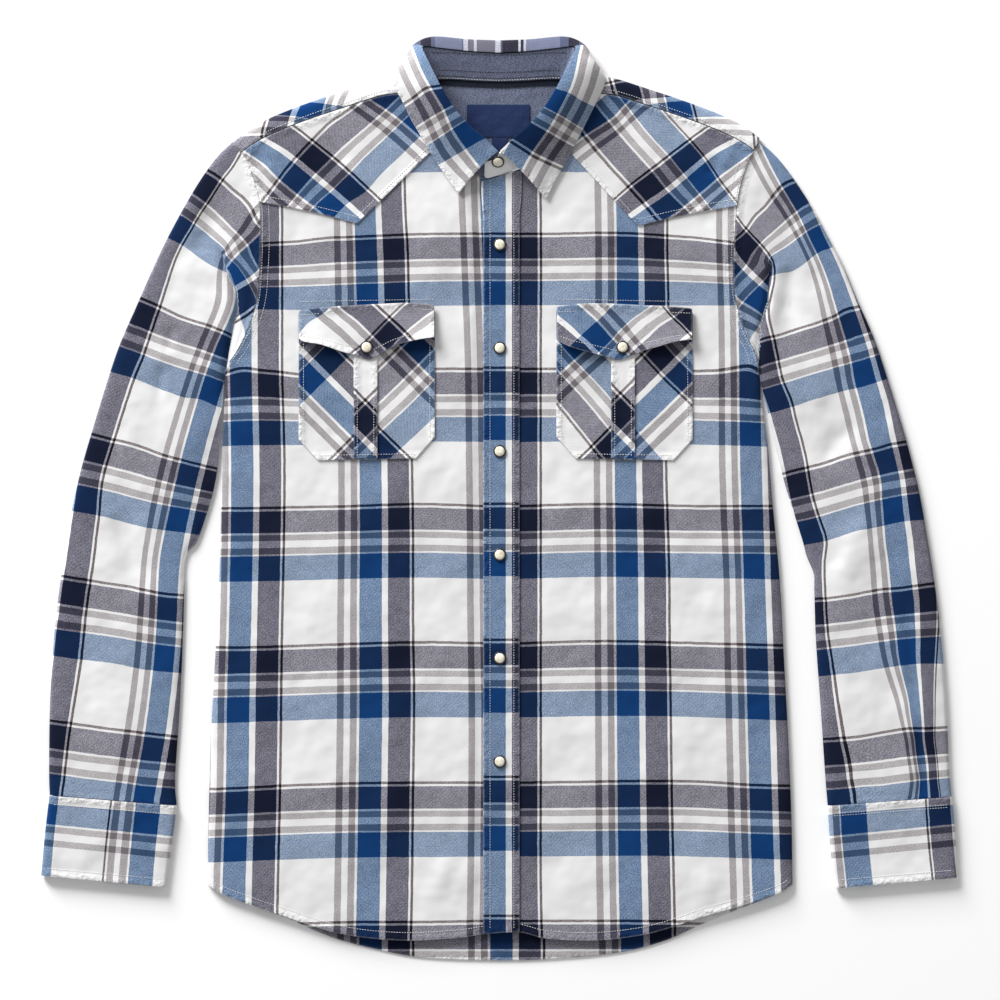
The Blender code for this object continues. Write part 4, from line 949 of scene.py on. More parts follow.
for side in YOKES:
    sign = -1 if side == "right" else 1
    corner_y, point_x, _, neck_x, _ = YOKES[side]
    corner_x, inner_x, top_y = abs(float(side_x(corner_y, side))), neck_x + 3.5, armhole_top_y(side)
    stops = np.concatenate(
        [np.linspace(corner_x, point_x, 36), np.linspace(point_x - 2.6, 82, 20), BY_THE_NECK, [inner_x]]
    )
    u = (corner_x - stops) / (corner_x - inner_x)
    edge_y = np.linspace(corner_y, top_y, 34)[:, None]
    r = (edge_y - corner_y) / (top_y - corner_y)
    low_x, x, top_x = (sign * mix(np.abs(side_x(y, side)), inner_x, u) for y in (corner_y, edge_y, top_y))
    high, low = front_top_y(top_x, side), yoke_edge_y(low_x, side)
    y = mix(low, np.maximum(high, low + 0.5), r)
    points = np.stack([x, y, front_height(x, y) + SEAM + OVERLAY], -1)
    weave = woven(points, YOKE_LINES_ACROSS[side], YOKE_LINES_DOWN[side])
    rim = np.minimum(np.minimum(y - low, high - y), np.abs(x - side_x(y, side)))
    if side == "left":
        points, weave, rim = flip(points), flip(weave), flip(rim)
    yoke_cotton = plaid_cotton if side == "right" else left_yoke_cotton
    made = cloth(f"front_yoke_{side}_cloth", points, weave, OVERLAY, yoke_cotton, rim)
    sewn(made)

# === Placket =====================================================================================
# The snap strip: a straight folded band of the same plaid on the edge of the upper front, sewn
# down along both its edges.

PLACKET_EDGES, PLACKET_WIDTH, PLACKET_FLARE, FLARE_Y = (-14.8, 19.4), 34.2, 2.0, 262.0
PLACKET_START_X = 35.7  # where the placket's plaid has its fine dark line
# How the plaid lies down the placket: y, distance along the repeat
PLACKET_PLAID = (
    (-400, 657.5), (-391, 648.5), (-260.4, 518.8), (-131.6, 389.1), (-3.8, 259.4), (124.1, 129.7), (250, 0.0),
    (320, -72.0),
)

r = np.linspace(0, 1, 190)[:, None]
u = np.linspace(0, 1, 15)
x = mix(*PLACKET_EDGES, u)
low, high = hermite(FRONT_HEM, x) - 0.2, front_top_y(x, "left") - 0.2
y = mix(low, high, r)
x = x + PLACKET_FLARE * (2 * u - 1) * ease((y - FLARE_Y) / 30)
points = np.stack([x, y, front_height(x, y) + SEAM + OVERLAY], -1)
weave = np.stack([x - PLACKET_START_X, hermite(PLACKET_PLAID, y)], -1)
rim = np.minimum(np.minimum(u, 1 - u) * PLACKET_WIDTH + 0 * y, np.minimum(y - low, high - y))
placket = cloth("placket_cloth", points, weave, OVERLAY, plaid_cotton, rim)
sewn(placket)

# === Inside the neck =============================================================================
# The yoke's chambray facing, a woven tape over the neck seam, and two plain woven labels, all sewn
# flat to the back yoke before the collar goes on.

FACING_HALF_WIDTH, FACING_LOW_Y = 69.0, 314.0
TAPE_HALF_WIDTH, TAPE_HEIGHT, LABEL_WALL = 60.0, 5.6, 0.6
LABEL, SIZE_TAB = (-30.3, 340.5, 28.9, 371.3), (-6.8, 328.0, 8.2, 340.0)  # left, low, right, high
# The facing's gentle ripple, and the wall from which it shows
RIPPLE, RIPPLE_RUNS, RIPPLE_WALL = 0.18, (7.3, 11.0, 6.1), 0.8
# How far the crossing of the threads goes from one colour to the other, and where slubs show
CROSSING_SHARE, SLUB_RANGE = 0.14, (0.34, 0.66)
LINING_SCALE, LINING_LIFT, THREAD_LIFT = 60.0, 0.0022, 0.00003


def plain_weave(name, thread, cross_thread, pitch, roughness):
    """Plain-woven cloth of two thread colours: chambray has a dyed warp and a white weft, a woven
    label is a dense dyed satin. Its threads are drawn pitch mm apart so that they show."""
    made, tree, shader = surface(name, roughness, Specular_IOR_Level=0.25, Sheen_Weight=0.1)
    place = place_on_cloth(tree)
    split = add_node(tree, "ShaderNodeSeparateXYZ", (place,))
    waves = []
    for k in (0, 1):
        turn = add_node(tree, "ShaderNodeMath", (split.outputs[k], math.pi / pitch), operation="MULTIPLY")
        waves.append(add_node(tree, "ShaderNodeMath", (turn,), operation="SINE"))
    over = add_node(tree, "ShaderNodeMath", (waves[0], waves[1]), operation="MULTIPLY")
    drawn = add_node(tree, "ShaderNodeVectorMath", (place, (0.5, 1.5, 1.0)), operation="MULTIPLY")
    slub = add_node(tree, "ShaderNodeTexNoise", {"Vector": drawn, "Scale": 1.1, "Detail": 3.0})
    speck = add_node(tree, "ShaderNodeMapRange", (slub.outputs["Fac"], SLUB_RANGE[0], SLUB_RANGE[1]))
    blend = add_node(
        tree, "ShaderNodeMath", (over, CROSSING_SHARE, speck), operation="MULTIPLY_ADD", use_clamp=True,
    )
    tone = add_node(
        tree, "ShaderNodeMix", {0: blend, 6: linear(thread), 7: linear(cross_thread)}, data_type="RGBA",
    )
    solid = add_node(tree, "ShaderNodeTexCoord")
    crumple = add_node(
        tree, "ShaderNodeTexNoise", {"Vector": solid.outputs["Object"], "Scale": LINING_SCALE, "Detail": 2.0},
    )
    lift = add_node(tree, "ShaderNodeMath", (crumple.outputs["Fac"], LINING_LIFT), operation="MULTIPLY")
    lift = add_node(tree, "ShaderNodeMath", (over, THREAD_LIFT, lift), operation="MULTIPLY_ADD")
    dress(tree, shader, tone.outputs[2], lift)
    return made


chambray = plain_weave("chambray, plain woven", "#2B3145", "#7C839A", 0.9, 0.88)
label_satin = plain_weave("label satin, woven", "#0F2046", "#172C58", 0.6, 0.75)
# The tape's herringbone is too fine to draw: it shows as matt, near-black flecks
neck_tape_weave = plain_weave("neck tape, herringbone", "#060A16", "#0E1528", 0.8, 0.85)


def lying(name, low_y, high_y, half_width, lift, wall, finish, middle=0.0):
    """Flat cloth inside the neck, between two edges given as functions of x."""
    x = middle + np.linspace(-half_width, half_width, 61)
    v = np.linspace(0, 1, 24)[:, None]
    y = mix(low_y(x), high_y(x), v)
    ripple = RIPPLE * np.sin(x / RIPPLE_RUNS[0] + y / RIPPLE_RUNS[1]) * np.sin(y / RIPPLE_RUNS[2])
    points = np.stack([x + 0 * v, y, lift + wall + ripple * (wall > RIPPLE_WALL)], -1)
    rim = np.minimum(half_width - np.abs(x - middle) + 0 * v, np.minimum(y - low_y(x), high_y(x) - y))
    return cloth(name, points, np.stack([x + 0 * v, y], -1), wall, finish, rim)


def neck_seam_y(x):
    return stand_foot_y(x) - 0.2


on_yoke = CLOTH + SEAM
on_facing = on_yoke + OVERLAY + SEAM
facing = lying(
    "yoke_facing_cloth", lambda x: FACING_LOW_Y + 0 * x, neck_seam_y, FACING_HALF_WIDTH, on_yoke, OVERLAY,
    chambray,
)
sewn(facing)
tape = lying(
    "neck_tape_cloth", lambda x: neck_seam_y(x) - TAPE_HEIGHT, lambda x: neck_seam_y(x) - 0.5,
    TAPE_HALF_WIDTH, on_facing, LABEL_WALL, neck_tape_weave,
)
sewn(tape)
for name, (low_x, low_y, high_x, high_y) in (("label_blank", LABEL), ("size_tab", SIZE_TAB)):
    half_width, middle = (high_x - low_x) / 2, (high_x + low_x) / 2
    made = lying(
        f"{name}_cloth", lambda x: low_y + 0 * x, lambda x: high_y + 0 * x, half_width, on_facing, LABEL_WALL,
        label_satin, middle,
    )
    sewn(made)

# === Collar ======================================================================================
# A chambray stand round the neck, closed in front by its white-faced snap tab, and over it the
# plaid leaf that rolls back down to two long points.

STAND_LAP, LEAF_DROP, LAP_SHARE, STAND_SLOPE = 14.0, 2.2, 0.62, 30.0
UNDER_DROP = -1.7  # the under lap's place behind the stand, where the over lap's is 1
# Where the stand runs on past the leaf at its two ends: reach, rise, share of the stand's height
UNDER_LAP = ((14, 6.5, LAP_SHARE * 0.9), (11, 4.5, LAP_SHARE), (8, 3.2, 0.7), (5, 2, 0.8), (2.5, 1, 0.9))
OVER_LAP = (
    (2, 0, 0.8), (4.5, 0, 0.72), (7, 0, 0.66), (STAND_LAP - 4, 0, LAP_SHARE), (STAND_LAP - 1, 1.4, LAP_SHARE),
    (STAND_LAP, 4.5, LAP_SHARE * 0.85),
)
# How the stand passes from under the other end to over it: place round the neck, side of the face
LAP_TURN = ((-1, -1), (-0.95, -0.9), (-0.88, -0.5), (-0.8, 0), (0.8, 0), (0.88, 0.5), (0.95, 0.9), (1, 1))


def collar_curve(column, t):
    """One of the collar's long lines: t runs from the wearer's right end (-1) to the left (1)."""
    lines = [(k, *row[COLLAR_COLUMNS.index(column)]) for k, row in enumerate(COLLAR)]
    place = (1 - np.abs(t)) * (len(COLLAR) - 1)
    x, y, z = (hermite(lines, place, axis) for axis in (1, 2, 3))
    return np.stack([np.sign(t) * x, y, z], -1)


def both_sides(right, left, t):
    return np.where((t < 0)[:, None], collar_curve(right, t), collar_curve(left, t))


def unit(a):
    return a / np.linalg.norm(a, axis=-1, keepdims=True)


def run(places):
    """Distance along a row of places from the first of them."""
    return np.concatenate([[0], np.cumsum(np.linalg.norm(np.diff(places, axis=0), axis=-1))])


t = np.linspace(-1, 1, 161)
foot, roll = both_sides("foot_right", "foot_left", t), collar_curve("roll", t)
strips = list(zip(foot, roll + unit(foot - roll) - np.array([0, 0, LEAF_DROP])))
slope = math.radians(STAND_SLOPE)
outward = np.array([0, -math.sin(slope), math.cos(slope)]) * (CLOTH + SEAM) / 2
f, r = strips[0]
under = [
    (f + np.array([reach, rise, rise / 2]), mix(f, r, share) + np.array([reach, 0, 0]))
    for reach, rise, share in UNDER_LAP
]
f, r = strips[-1]
over = [
    (f + np.array([-reach, rise - reach * TAB_SLOPE, 0]), mix(f, r, share) + np.array([-reach, 0, 0]))
    for reach, rise, share in OVER_LAP
]
pairs = under + strips + over
lap = np.concatenate([[UNDER_DROP] * len(under), np.interp(t, *zip(*LAP_TURN)), [1] * len(over)])
v = np.linspace(0, 1, 13)[:, None]
points = np.array([mix(f, r, v) + outward * share for (f, r), share in zip(pairs, lap)])
along = run(points[:, len(v) // 2])[:, None]
height = np.linalg.norm(points - points[:, :1], axis=-1)
weave = np.stack([along + 0 * height, height], -1)
# The snap tab, at the stand's left end, is faced with the white ground of the plaid, painted paler than the
# plaid's own white as painted light where it tilts away from the lamp.
TAB_STATIONS = len(over) + 8
ground = ((100.0, "lit_white"),)
tab_lit_cotton = plaid("cotton twill, white snap tab", ground, ground)
tab_faces = np.zeros((len(points) - 1, points.shape[1] - 1), int)
tab_faces[-TAB_STATIONS:] = 1
stand = cloth(
    "collar_stand_cloth", points, weave, CLOTH, (chambray, tab_lit_cotton),
    np.minimum(height, height[:, -1:] - height), finish_at=tab_faces,
)
sewn(stand)

t = np.linspace(-1, 1, 221)
roll, middle = (collar_curve(c, t)[:, None] for c in ("roll", "leaf_middle"))
edge = both_sides("edge_right", "edge_left", t)[:, None]
v = np.concatenate([[1, 0.985, 0.96], np.linspace(0.92, 0, 24)])[:, None]
leaf_points = roll * (1 - v) ** 2 + middle * 2 * v * (1 - v) + edge * v * v
from_edge, round_edge = np.array([run(row) for row in leaf_points]), run(leaf_points[:, 0])
# How the plaid lies on each half of the leaf: its lines across, then its lines down
LEAF_LINES = {
    "right": (
        (
            (72.3, ((-81.9, 426.3), (-71.3, 400), (-60.2, 380.2), (-52.3, 367.1), (-43.8, 348),
                (-31.9, 330.1), (-18.7, 313))),
            (43.0, ((-94, 381.2), (-74.3, 341.7), (-58.3, 311.6))), (41.0, ((-40.4, 290.9),)),
        ),
        (
            (0.0, ((-87.8, 373), (-79.2, 378.3), (-69.4, 386.2), (-54.9, 388.5))),
            (24.0, ((-76.6, 351.8), (-60.2, 361.4), (-44.4, 369.7))),
            (46.1, ((-66.1, 333.4), (-43.7, 347.3), (-31.2, 355.1))),
            (69.1, ((-54.2, 316.3), (-35.2, 326.8), (-14.1, 338.7))), (-22.0, ((-95.9, 394.3), (-63, 407.5))),
        ),
    ),
    "left": (
        (
            (72.3, ((76.8, 426.3), (68.9, 390.8), (60.3, 372.3), (43.9, 343.9), (29.4, 323.6),
                (19.5, 305.8))),
            (46.0, ((97.8, 392.4), (75.2, 343.6))), (42.0, ((60.2, 313.5), (47, 288.1))),
        ),
        (
            (69.1, ((89.3, 368.9), (76.8, 374.3), (65.6, 381.5), (55.6, 384.2))),
            (46.1, ((78.8, 348.6), (55.7, 361.8), (42.6, 368.4))),
            (24.0, ((69.6, 331.4), (49.8, 342), (30.1, 353.2))),
            (0.0, ((57.7, 310.4), (34, 320.9), (12.2, 334.7))), (92.0, ((97.8, 390.6), (64.9, 405.6))),
        ),
    ),
}
# Where the leaf rolls behind the neck its stripes run straight down, in a copy of the plaid darkened and
# blued as painted shade, darkest at both ends where the leaf turns down.
LEAF_SHADED_HALF, LEAF_BACK_START_X = 0.27, 67.7
LEAF_BACK_SHADED_STRIPES = (
    (3.8, "dark"), (3.8, "slate_shade"), (25.4, "mist_shade"), (1.0, "slate_shade"), (4.2, "white"), (1.0, "slate_shade"),
    (4.7, "grey"), (2.8, "white"), (17.4, "grey"),
    (4.7, "white"), (1.5, "slate_shade"), (15.5, "dark"), (2.0, "white"), (3.0, "dark"), (1.9, "white"),
    (32.0, "mist_shade"), (8.5, "slate_shade"), (6.0, "dark"),
)
leaf_back_shaded_cotton = plaid("plaid cotton twill, back of the collar", LEAF_BACK_SHADED_STRIPES, ((100.0, "slate_shade"),))
weave = leaf_points[..., :2] + np.array([LEAF_BACK_START_X, 0])
for side, there in (("right", t < -LEAF_SHADED_HALF), ("left", t > LEAF_SHADED_HALF)):
    weave[there] = woven(leaf_points[there], *LEAF_LINES[side])
# The faces behind the neck take that darkened copy, its painted shade.
behind = (np.abs(t[:-1] + t[1:]) / 2 < LEAF_SHADED_HALF).astype(int)
shaded_at_back = np.repeat(behind[:, None], len(v) - 1, 1)
rim = np.minimum(from_edge, np.minimum(round_edge, round_edge[-1] - round_edge)[:, None])
leaf = cloth(
    "collar_leaf_cloth", leaf_points, weave, CLOTH, (plaid_cotton, leaf_back_shaded_cotton), rim, finish_at=shaded_at_back,
)
sewn(leaf)

# === Sleeves =====================================================================================
# Two long sleeves, each one piece closed along the underarm, set into its armhole and lying flat
# beside the body. The plaid bends with the soft creases at armpit and elbow.

# Each row is one station down a sleeve: x and y of its outer edge, x and y of its inner one, and
# how much of the armhole's curve it keeps
SLEEVES = {
    "right": (
        (-265, 322, -258.8, 107, 0.7), (-281, 300, -259.5, 95, 0.5), (-297, 273, -260.8, 82, 0.35),
        (-313, 243, -261.8, 67, 0.22), (-328, 211, -263, 51, 0.12), (-342, 179, -264, 35, 0.05),
        (-356, 147, -266.5, 18, 0), (-368, 112, -271, -1, 0), (-388, 46, -283.5, -38, 0),
        (-396, 16, -292.5, -49, 0), (-402, -12, -296, -63, 0), (-408, -48, -296, -86, 0),
        (-417, -114, -297.5, -137, 0), (-422, -189, -300.5, -201, 0), (-423, -255, -304.5, -262, 0),
        (-422.4, -277.8, -303.1, -287.4, 0),
    ),
    "left": (
        (261, 322, 246.5, 107, 0.7), (278, 300, 249.8, 95, 0.5), (294, 275, 252.8, 82, 0.35),
        (309, 247, 255.8, 67, 0.22), (323, 220, 259.5, 50, 0.12), (336, 189, 264, 33, 0.05),
        (349, 160, 269, 14, 0), (359, 133, 274.5, -4, 0), (379, 69, 285.5, -39, 0),
        (387, 40, 289.5, -54, 0), (394, 12, 296, -70, 0), (400, -20, 296.5, -87, 0),
        (411.5, -93, 298, -133, 0), (419.5, -175, 302.5, -197, 0), (423, -250, 306.5, -257, 0),
        (425.5, -279.2, 309, -287.7, 0),
    ),
}
SLEEVE_LINES_ACROSS = {
    "right": (
        (-23.8, ((-364, 133), (-397, 12), (-403, -29), (-410, -75), (-418, -137))),
        (0, ((-242, 327), (-250, 313), (-260, 300), (-270, 284), (-281, 268), (-290, 252), (-300, 235),
            (-318, 183), (-335, 133), (-350, 93), (-362, 55), (-373, 17), (-376, -15), (-381, -56),
            (-384, -76), (-391, -133), (-393, -151), (-399, -189), (-405, -227), (-410, -271))),
        (51.7, ((-253, 241), (-237, 266))),
        (52.6, ((-266, 188),)),
        (71.4, ((-227, 247), (-247, 227))),
        (72.4, ((-248, 187), (-263, 150), (-277, 114), (-283, 94), (-294, 56), (-304, 16), (-312, -20),
            (-319, -57), (-321, -94), (-323, -133), (-329, -191), (-334, -226), (-341, -264))),
    ),
    "left": (
        (0, ((232, 255), (247, 239), (258, 223), (253, 178), (259, 149), (263, 129), (267, 111), (275, 93),
            (279, 75), (284, 58), (289, 37), (292, 18), (296, -1), (302, -20), (308, -39), (306, -57),
            (306, -76), (307, -94), (310, -133), (313, -151), (318, -188), (324, -225), (331, -264),
            (334, -280))),
        (51.7, ((252, 289), (272, 258), (300, 187))),
        (72.4, ((265, 296), (282, 267), (293, 243), (304, 220), (315, 187), (326, 150), (331, 131),
            (334, 112), (339, 94), (348, 55), (359, 18), (360, 0), (363, -38), (366, -60), (369, -94),
            (374, -132), (376, -150), (385, -188), (391, -226), (396, -264))),
        (99.4, ((366, 91), (378, 36), (384, -1), (389, -38), (391, -59), (395, -94), (396, -132),
            (398, -188), (400, -226), (404, -264))),
    ),
}
SLEEVE_LINES_DOWN = {
    "right": (
        (0, ((-272, 309), (-260, 301), (-247, 289), (-240, 284), (-232, 274), (-226, 261))),
        (69.1, ((-309, 245), (-297, 239), (-281, 227), (-270, 220), (-257, 214))),
        (129.7, ((-326, 185), (-317, 181), (-305, 175), (-290, 169), (-273, 164), (-254, 156))),
        (198.8, ((-360, 119), (-340, 113), (-326, 107), (-307, 100), (-295, 96), (-282, 95), (-268, 89))),
        (259.4, ((-380, 61), (-360, 56), (-346, 53), (-331, 48), (-318, 43), (-300, 38), (-281, 33),
            (-264, 29))),
        (328.5, ((-399, -11), (-375, -15), (-356, -20), (-337, -25), (-319, -28), (-295, -31))),
        (389.2, ((-409, -72), (-384, -76), (-366, -79), (-346, -82), (-328, -86), (-309, -89), (-295, -90))),
        (458.2, ((-417, -147), (-394, -150), (-375, -152), (-355, -155), (-337, -159), (-299, -163))),
        (518.9, ((-419, -208), (-397, -211), (-376, -214), (-352, -217), (-328, -220), (-301, -223))),
        (564, ((-420, -257), (-398, -260), (-376, -263), (-357, -265), (-338, -268), (-313, -270))),
    ),
    "left": (
        (0, ((278, 301), (269, 298), (262, 292), (256, 284), (248, 274), (239, 266), (232, 255), (224, 247))),
        (69.1, ((310, 236), (301, 233), (293, 227), (283, 219), (274, 214), (264, 213), (255, 210))),
        (129.7, ((336, 181), (325, 179), (318, 174), (306, 169), (292, 164), (278, 160), (264, 155),
            (250, 152))),
        (198.8, ((353, 110), (341, 106), (331, 104), (322, 102), (309, 98), (292, 93), (278, 88),
            (264, 84), (253, 81))),
        (259.4, ((379, 54), (367, 52), (354, 48), (340, 45), (327, 42), (313, 37), (297, 32), (283, 29),
            (269, 25))),
        (328.5, ((398, -19), (382, -20), (363, -24), (349, -27), (337, -29), (310, -38), (284, -43))),
        (389.2, ((407, -79), (391, -81), (377, -83), (363, -84), (349, -86), (335, -89), (321, -91),
            (306, -93), (297, -93))),
        (458.2, ((418, -154), (396, -154), (376, -156), (356, -159), (338, -162), (319, -164), (301, -166))),
        (518.9, ((419, -214), (400, -215), (385, -215), (359, -219), (343, -222), (324, -224), (306, -225))),
        (564, ((421, -261), (400, -263), (382, -265), (359, -268), (343, -269), (325, -271), (309, -272))),
    ),
}
# The fold tucked in at each armpit: where its crease runs, and the plaid on its inner side
TUCKS = {
    "right": (
        (
            (-263.2, 236.4), (-259.4, 227), (-256.6, 215.7), (-251, 204.4), (-246.8, 196.9), (-245.3, 187.5),
            (-244.9, 177.2), (-248.2, 168.7), (-251, 154.6), (-253.8, 138.7), (-256.6, 119.8),
        ),
        (
            (51.7, ((-234.1, 261.8), (-249.3, 250.7), (-259.6, 239.4))),
            (72.3, ((-224.7, 251.4), (-235.9, 239.2), (-243.5, 232.2), (-251, 224.2), (-253.8, 220))),
            (93.4, ((-226.5, 216.2), (-232.2, 211), (-237.8, 207.3), (-244.9, 203))),
            (99.4, ((-225.6, 209.6), (-230.3, 206.3), (-235.9, 202.6), (-244.9, 197.4))),
            (119.8, ((-231.2, 182.4), (-236.9, 178.6), (-243.5, 174.4))),
            (123.1, ((-232.2, 177.2), (-236.9, 173), (-243, 169.2))),
            (141.0, ((-243.5, 152.8), (-237.8, 156.5))),
        ),
        (
            (0.0, ((-240.6, 285.3), (-232.2, 274), (-225.6, 260.8))),
            (26.3, ((-255.2, 263.7), (-246.8, 251.9), (-237.8, 237.3), (-232.6, 226.1), (-227.5, 217.6))),
            (46.1, ((-261.3, 233.6), (-251, 222.8), (-243.5, 215.3), (-237.8, 207.3), (-234.1, 199.8),
                (-229.4, 190.3))),
            (67.0, ((-253.3, 217.6), (-249.1, 206.3), (-243.9, 195), (-243.9, 182.8))),
            (69.1, ((-243.5, 173.4), (-242, 167.8), (-239.2, 161.2), (-238.8, 153.7))),
            (82.0, ((-250, 154.6), (-252.9, 140.5))),
        ),
    ),
    "left": (
        (
            (258.5, 226.1), (255.7, 215.7), (253.3, 204.4), (252.4, 184.7), (247.7, 170.6), (245.3, 153.7),
            (243.9, 140.5), (244.4, 118),
        ),
        (
            (0.0, ((221.8, 266.5), (232.2, 255.2), (247.2, 239.2), (257.6, 225.1))),
            (-23.7, ((221.8, 231.7), (232.6, 220.4), (240.6, 212.4), (248.2, 205.4), (252.9, 200.2))),
            (-29.7, ((220.9, 224.2), (228.4, 215.7), (235.9, 208.2), (244.4, 200.7), (251.9, 195.5))),
            (-50.8, ((223.2, 190.8), (229.4, 185.2), (237.8, 180.9), (247.2, 173.9))),
            (-59.5, ((225.6, 178.1), (235.9, 172.5), (245.3, 167.3))),
            (-65.3, ((225.6, 171.1), (234.1, 167.8), (242.5, 163.1))),
            (-71.4, ((227.5, 162.1), (235.9, 159.3), (242.5, 156.5))),
            (-90.0, ((237.8, 145.2), (242.5, 138.7))),
        ),
        (
            (0.0, ((220.9, 243.9), (232.2, 255.2), (242.5, 265.6))), (24.0, ((233.1, 221.8), (246.3, 235.5))),
            (31.5, ((237.8, 215.7), (251.9, 228.9))),
            (46.1, ((225.6, 180), (229.8, 185.2), (244.4, 200.7), (250, 206.3), (255.7, 213.8))),
            (69.1, ((235.5, 149), (239.7, 156.5), (245.3, 165), (248.2, 171.5), (252.4, 179.1))),
            (80.0, ((243.5, 143.3), (242.5, 149.9))),
        ),
    ),
}
# Share of a sleeve's height lost beside the body, where it sinks under it, station by station
SAG = ((0, 0.0), (1, 0.5), (3, 0.5), (7, 0.45), (9, 0.3), (12, 0.0), (17, 0.0))
# Round a folded tube of cloth: (distance in from a folded edge, share of its height)
TOP_EDGE = ((0.0, 0.42), (1.4, 0.78), (4.5, 0.93), (10.0, 1.0))
BOTTOM_EDGE = ((0.0, 0.42), (1.2, 0.1), (4.0, 0.0), (10.0, 0.0))
EDGE_TURN = TOP_EDGE[-1][0]
# The mesh's columns beside a folded edge, in mm in from it: over the top, and underneath
OVER_STEPS, UNDER_STEPS = (0.0, 0.35, 0.8, 1.4, 2.4, 3.4, 4.5, 6.0, 8.0, 10.0), (1.2, 2.4, 4.0, 7.0, 10.0)
# The tucked fold: how it opens at its two ends, how far above it the plaid still bends, and the
# ridge and trough of its crease as (distance inside it, half width, height)
TUCK_OPENS, TUCK_FOOT, TUCK_HEAD, TUCK_BENDS, TUCK_WIDTH = 8.0, 6.0, 22.0, 30.0, 16.0
TUCK_RIDGE, TUCK_TROUGH = (9, 7, 1.0), (0, 3.2, 2.2)
SAG_RUN, LEAST_HEIGHT, FOLDS_FROM = 13, 0.44, 0.12


def armhole_point(side, v):
    """The sleeve's place beside the armhole, v of the way down it."""
    y = mix(SHOULDER_Y, PIT_Y, v)
    return np.stack([side_x(y, side) + (-1 if side == "right" else 1) * SEAM, y], -1)


def fanned(v):
    """Share of a station's width reached by the point that is v of the way down the armhole."""
    return v - 0.25 * np.sin(np.pi * v * v)


def beside_tuck(side, x, y):
    """How far a place lies inside the tucked fold's crease, and how open the crease is there."""
    crease = np.array(TUCKS[side][0])[::-1]
    inside = (x - np.interp(y, crease[:, 1], crease[:, 0])) * (1 if side == "right" else -1)
    foot_y, head_y = crease[0, 1] - TUCK_FOOT, crease[-1, 1]
    open_here = ease((head_y - y) / TUCK_OPENS) * ease((y - foot_y) / TUCK_OPENS)
    above = ease((head_y + TUCK_HEAD - y) / TUCK_BENDS) * (y > foot_y)
    bent = mix(above * ease(inside / TUCK_WIDTH), above, open_here)
    return inside, open_here, np.where(inside > 0, bent, 0.0)


def station(rows, place):
    """A tube's outer and inner edge at a place down it, its width, and what else its rows say."""
    outer_x, outer_y, inner_x, inner_y, *rest = (
        float(hermite(rows, place, k)) for k in range(1, len(rows[0]))
    )
    outer, inner = np.array([outer_x, outer_y]), np.array([inner_x, inner_y])
    return outer, inner, float(np.linalg.norm(inner - outer)), *rest


def tube_ring(place, width, loft, creased, side=None, sag=0.0):
    """Round a flattened tube from its inner edge: back underneath, then over the top again."""
    edge, low = np.array(OVER_STEPS) / width, np.array(UNDER_STEPS) / width
    over = np.concatenate([edge, np.linspace(12 / width, 1 - 12 / width, 56), 1 - edge[::-1]])
    under = np.concatenate([1 - low, np.linspace(1 - 14 / width, 14 / width, 16), low[::-1]])
    top_xy, under_xy = place(over), place(under)
    from_fold = np.minimum(over, 1 - over) * width
    z = loft * hermite(TOP_EDGE, np.minimum(from_fold, EDGE_TURN))
    if creased:
        share = np.minimum(np.minimum(over, 1 - over), FOLDS_FROM) / FOLDS_FROM
        z = z + folds(top_xy[:, 0], top_xy[:, 1]) * share
        inside, open_here, _ = beside_tuck(side, top_xy[:, 0], top_xy[:, 1])
        ridge, trough = (h * np.exp(-(((inside + at) / w) ** 2)) for at, w, h in (TUCK_RIDGE, TUCK_TROUGH))
        z = z + open_here * (ridge - trough)
        z = z * (1 - sag * np.exp(-((((1 - over) * width) / SAG_RUN) ** 2)))
        z = np.maximum(z, LEAST_HEIGHT * loft)
    from_fold = np.minimum(under, 1 - under) * width
    under_z = loft * hermite(BOTTOM_EDGE, np.minimum(from_fold, EDGE_TURN))
    ring = np.concatenate([np.column_stack([under_xy, under_z]), np.column_stack([top_xy, z])])
    return np.concatenate([ring, ring[:1]]), len(under)


def turn_under(across, under_count):
    """Mirrors the underside's places across the plaid about the outer fold."""
    across[:, :under_count] = 2 * across[:, under_count][:, None] - across[:, :under_count]


def tube_weave(points, under_count, side):
    """The plaid carried over the outer fold to the underside, with its break at the inner edge."""
    weave = woven(points, SLEEVE_LINES_ACROSS[side], SLEEVE_LINES_DOWN[side])
    _, _, share = beside_tuck(side, points[..., 0], points[..., 1])
    tucked = (share > 0) & (np.arange(points.shape[1]) >= under_count)
    inner_side = woven(points[tucked], *TUCKS[side][1:])
    weave[tucked] = mix(weave[tucked], inner_side, share[tucked][:, None])
    turn_under(weave[..., 0], under_count)
    return weave


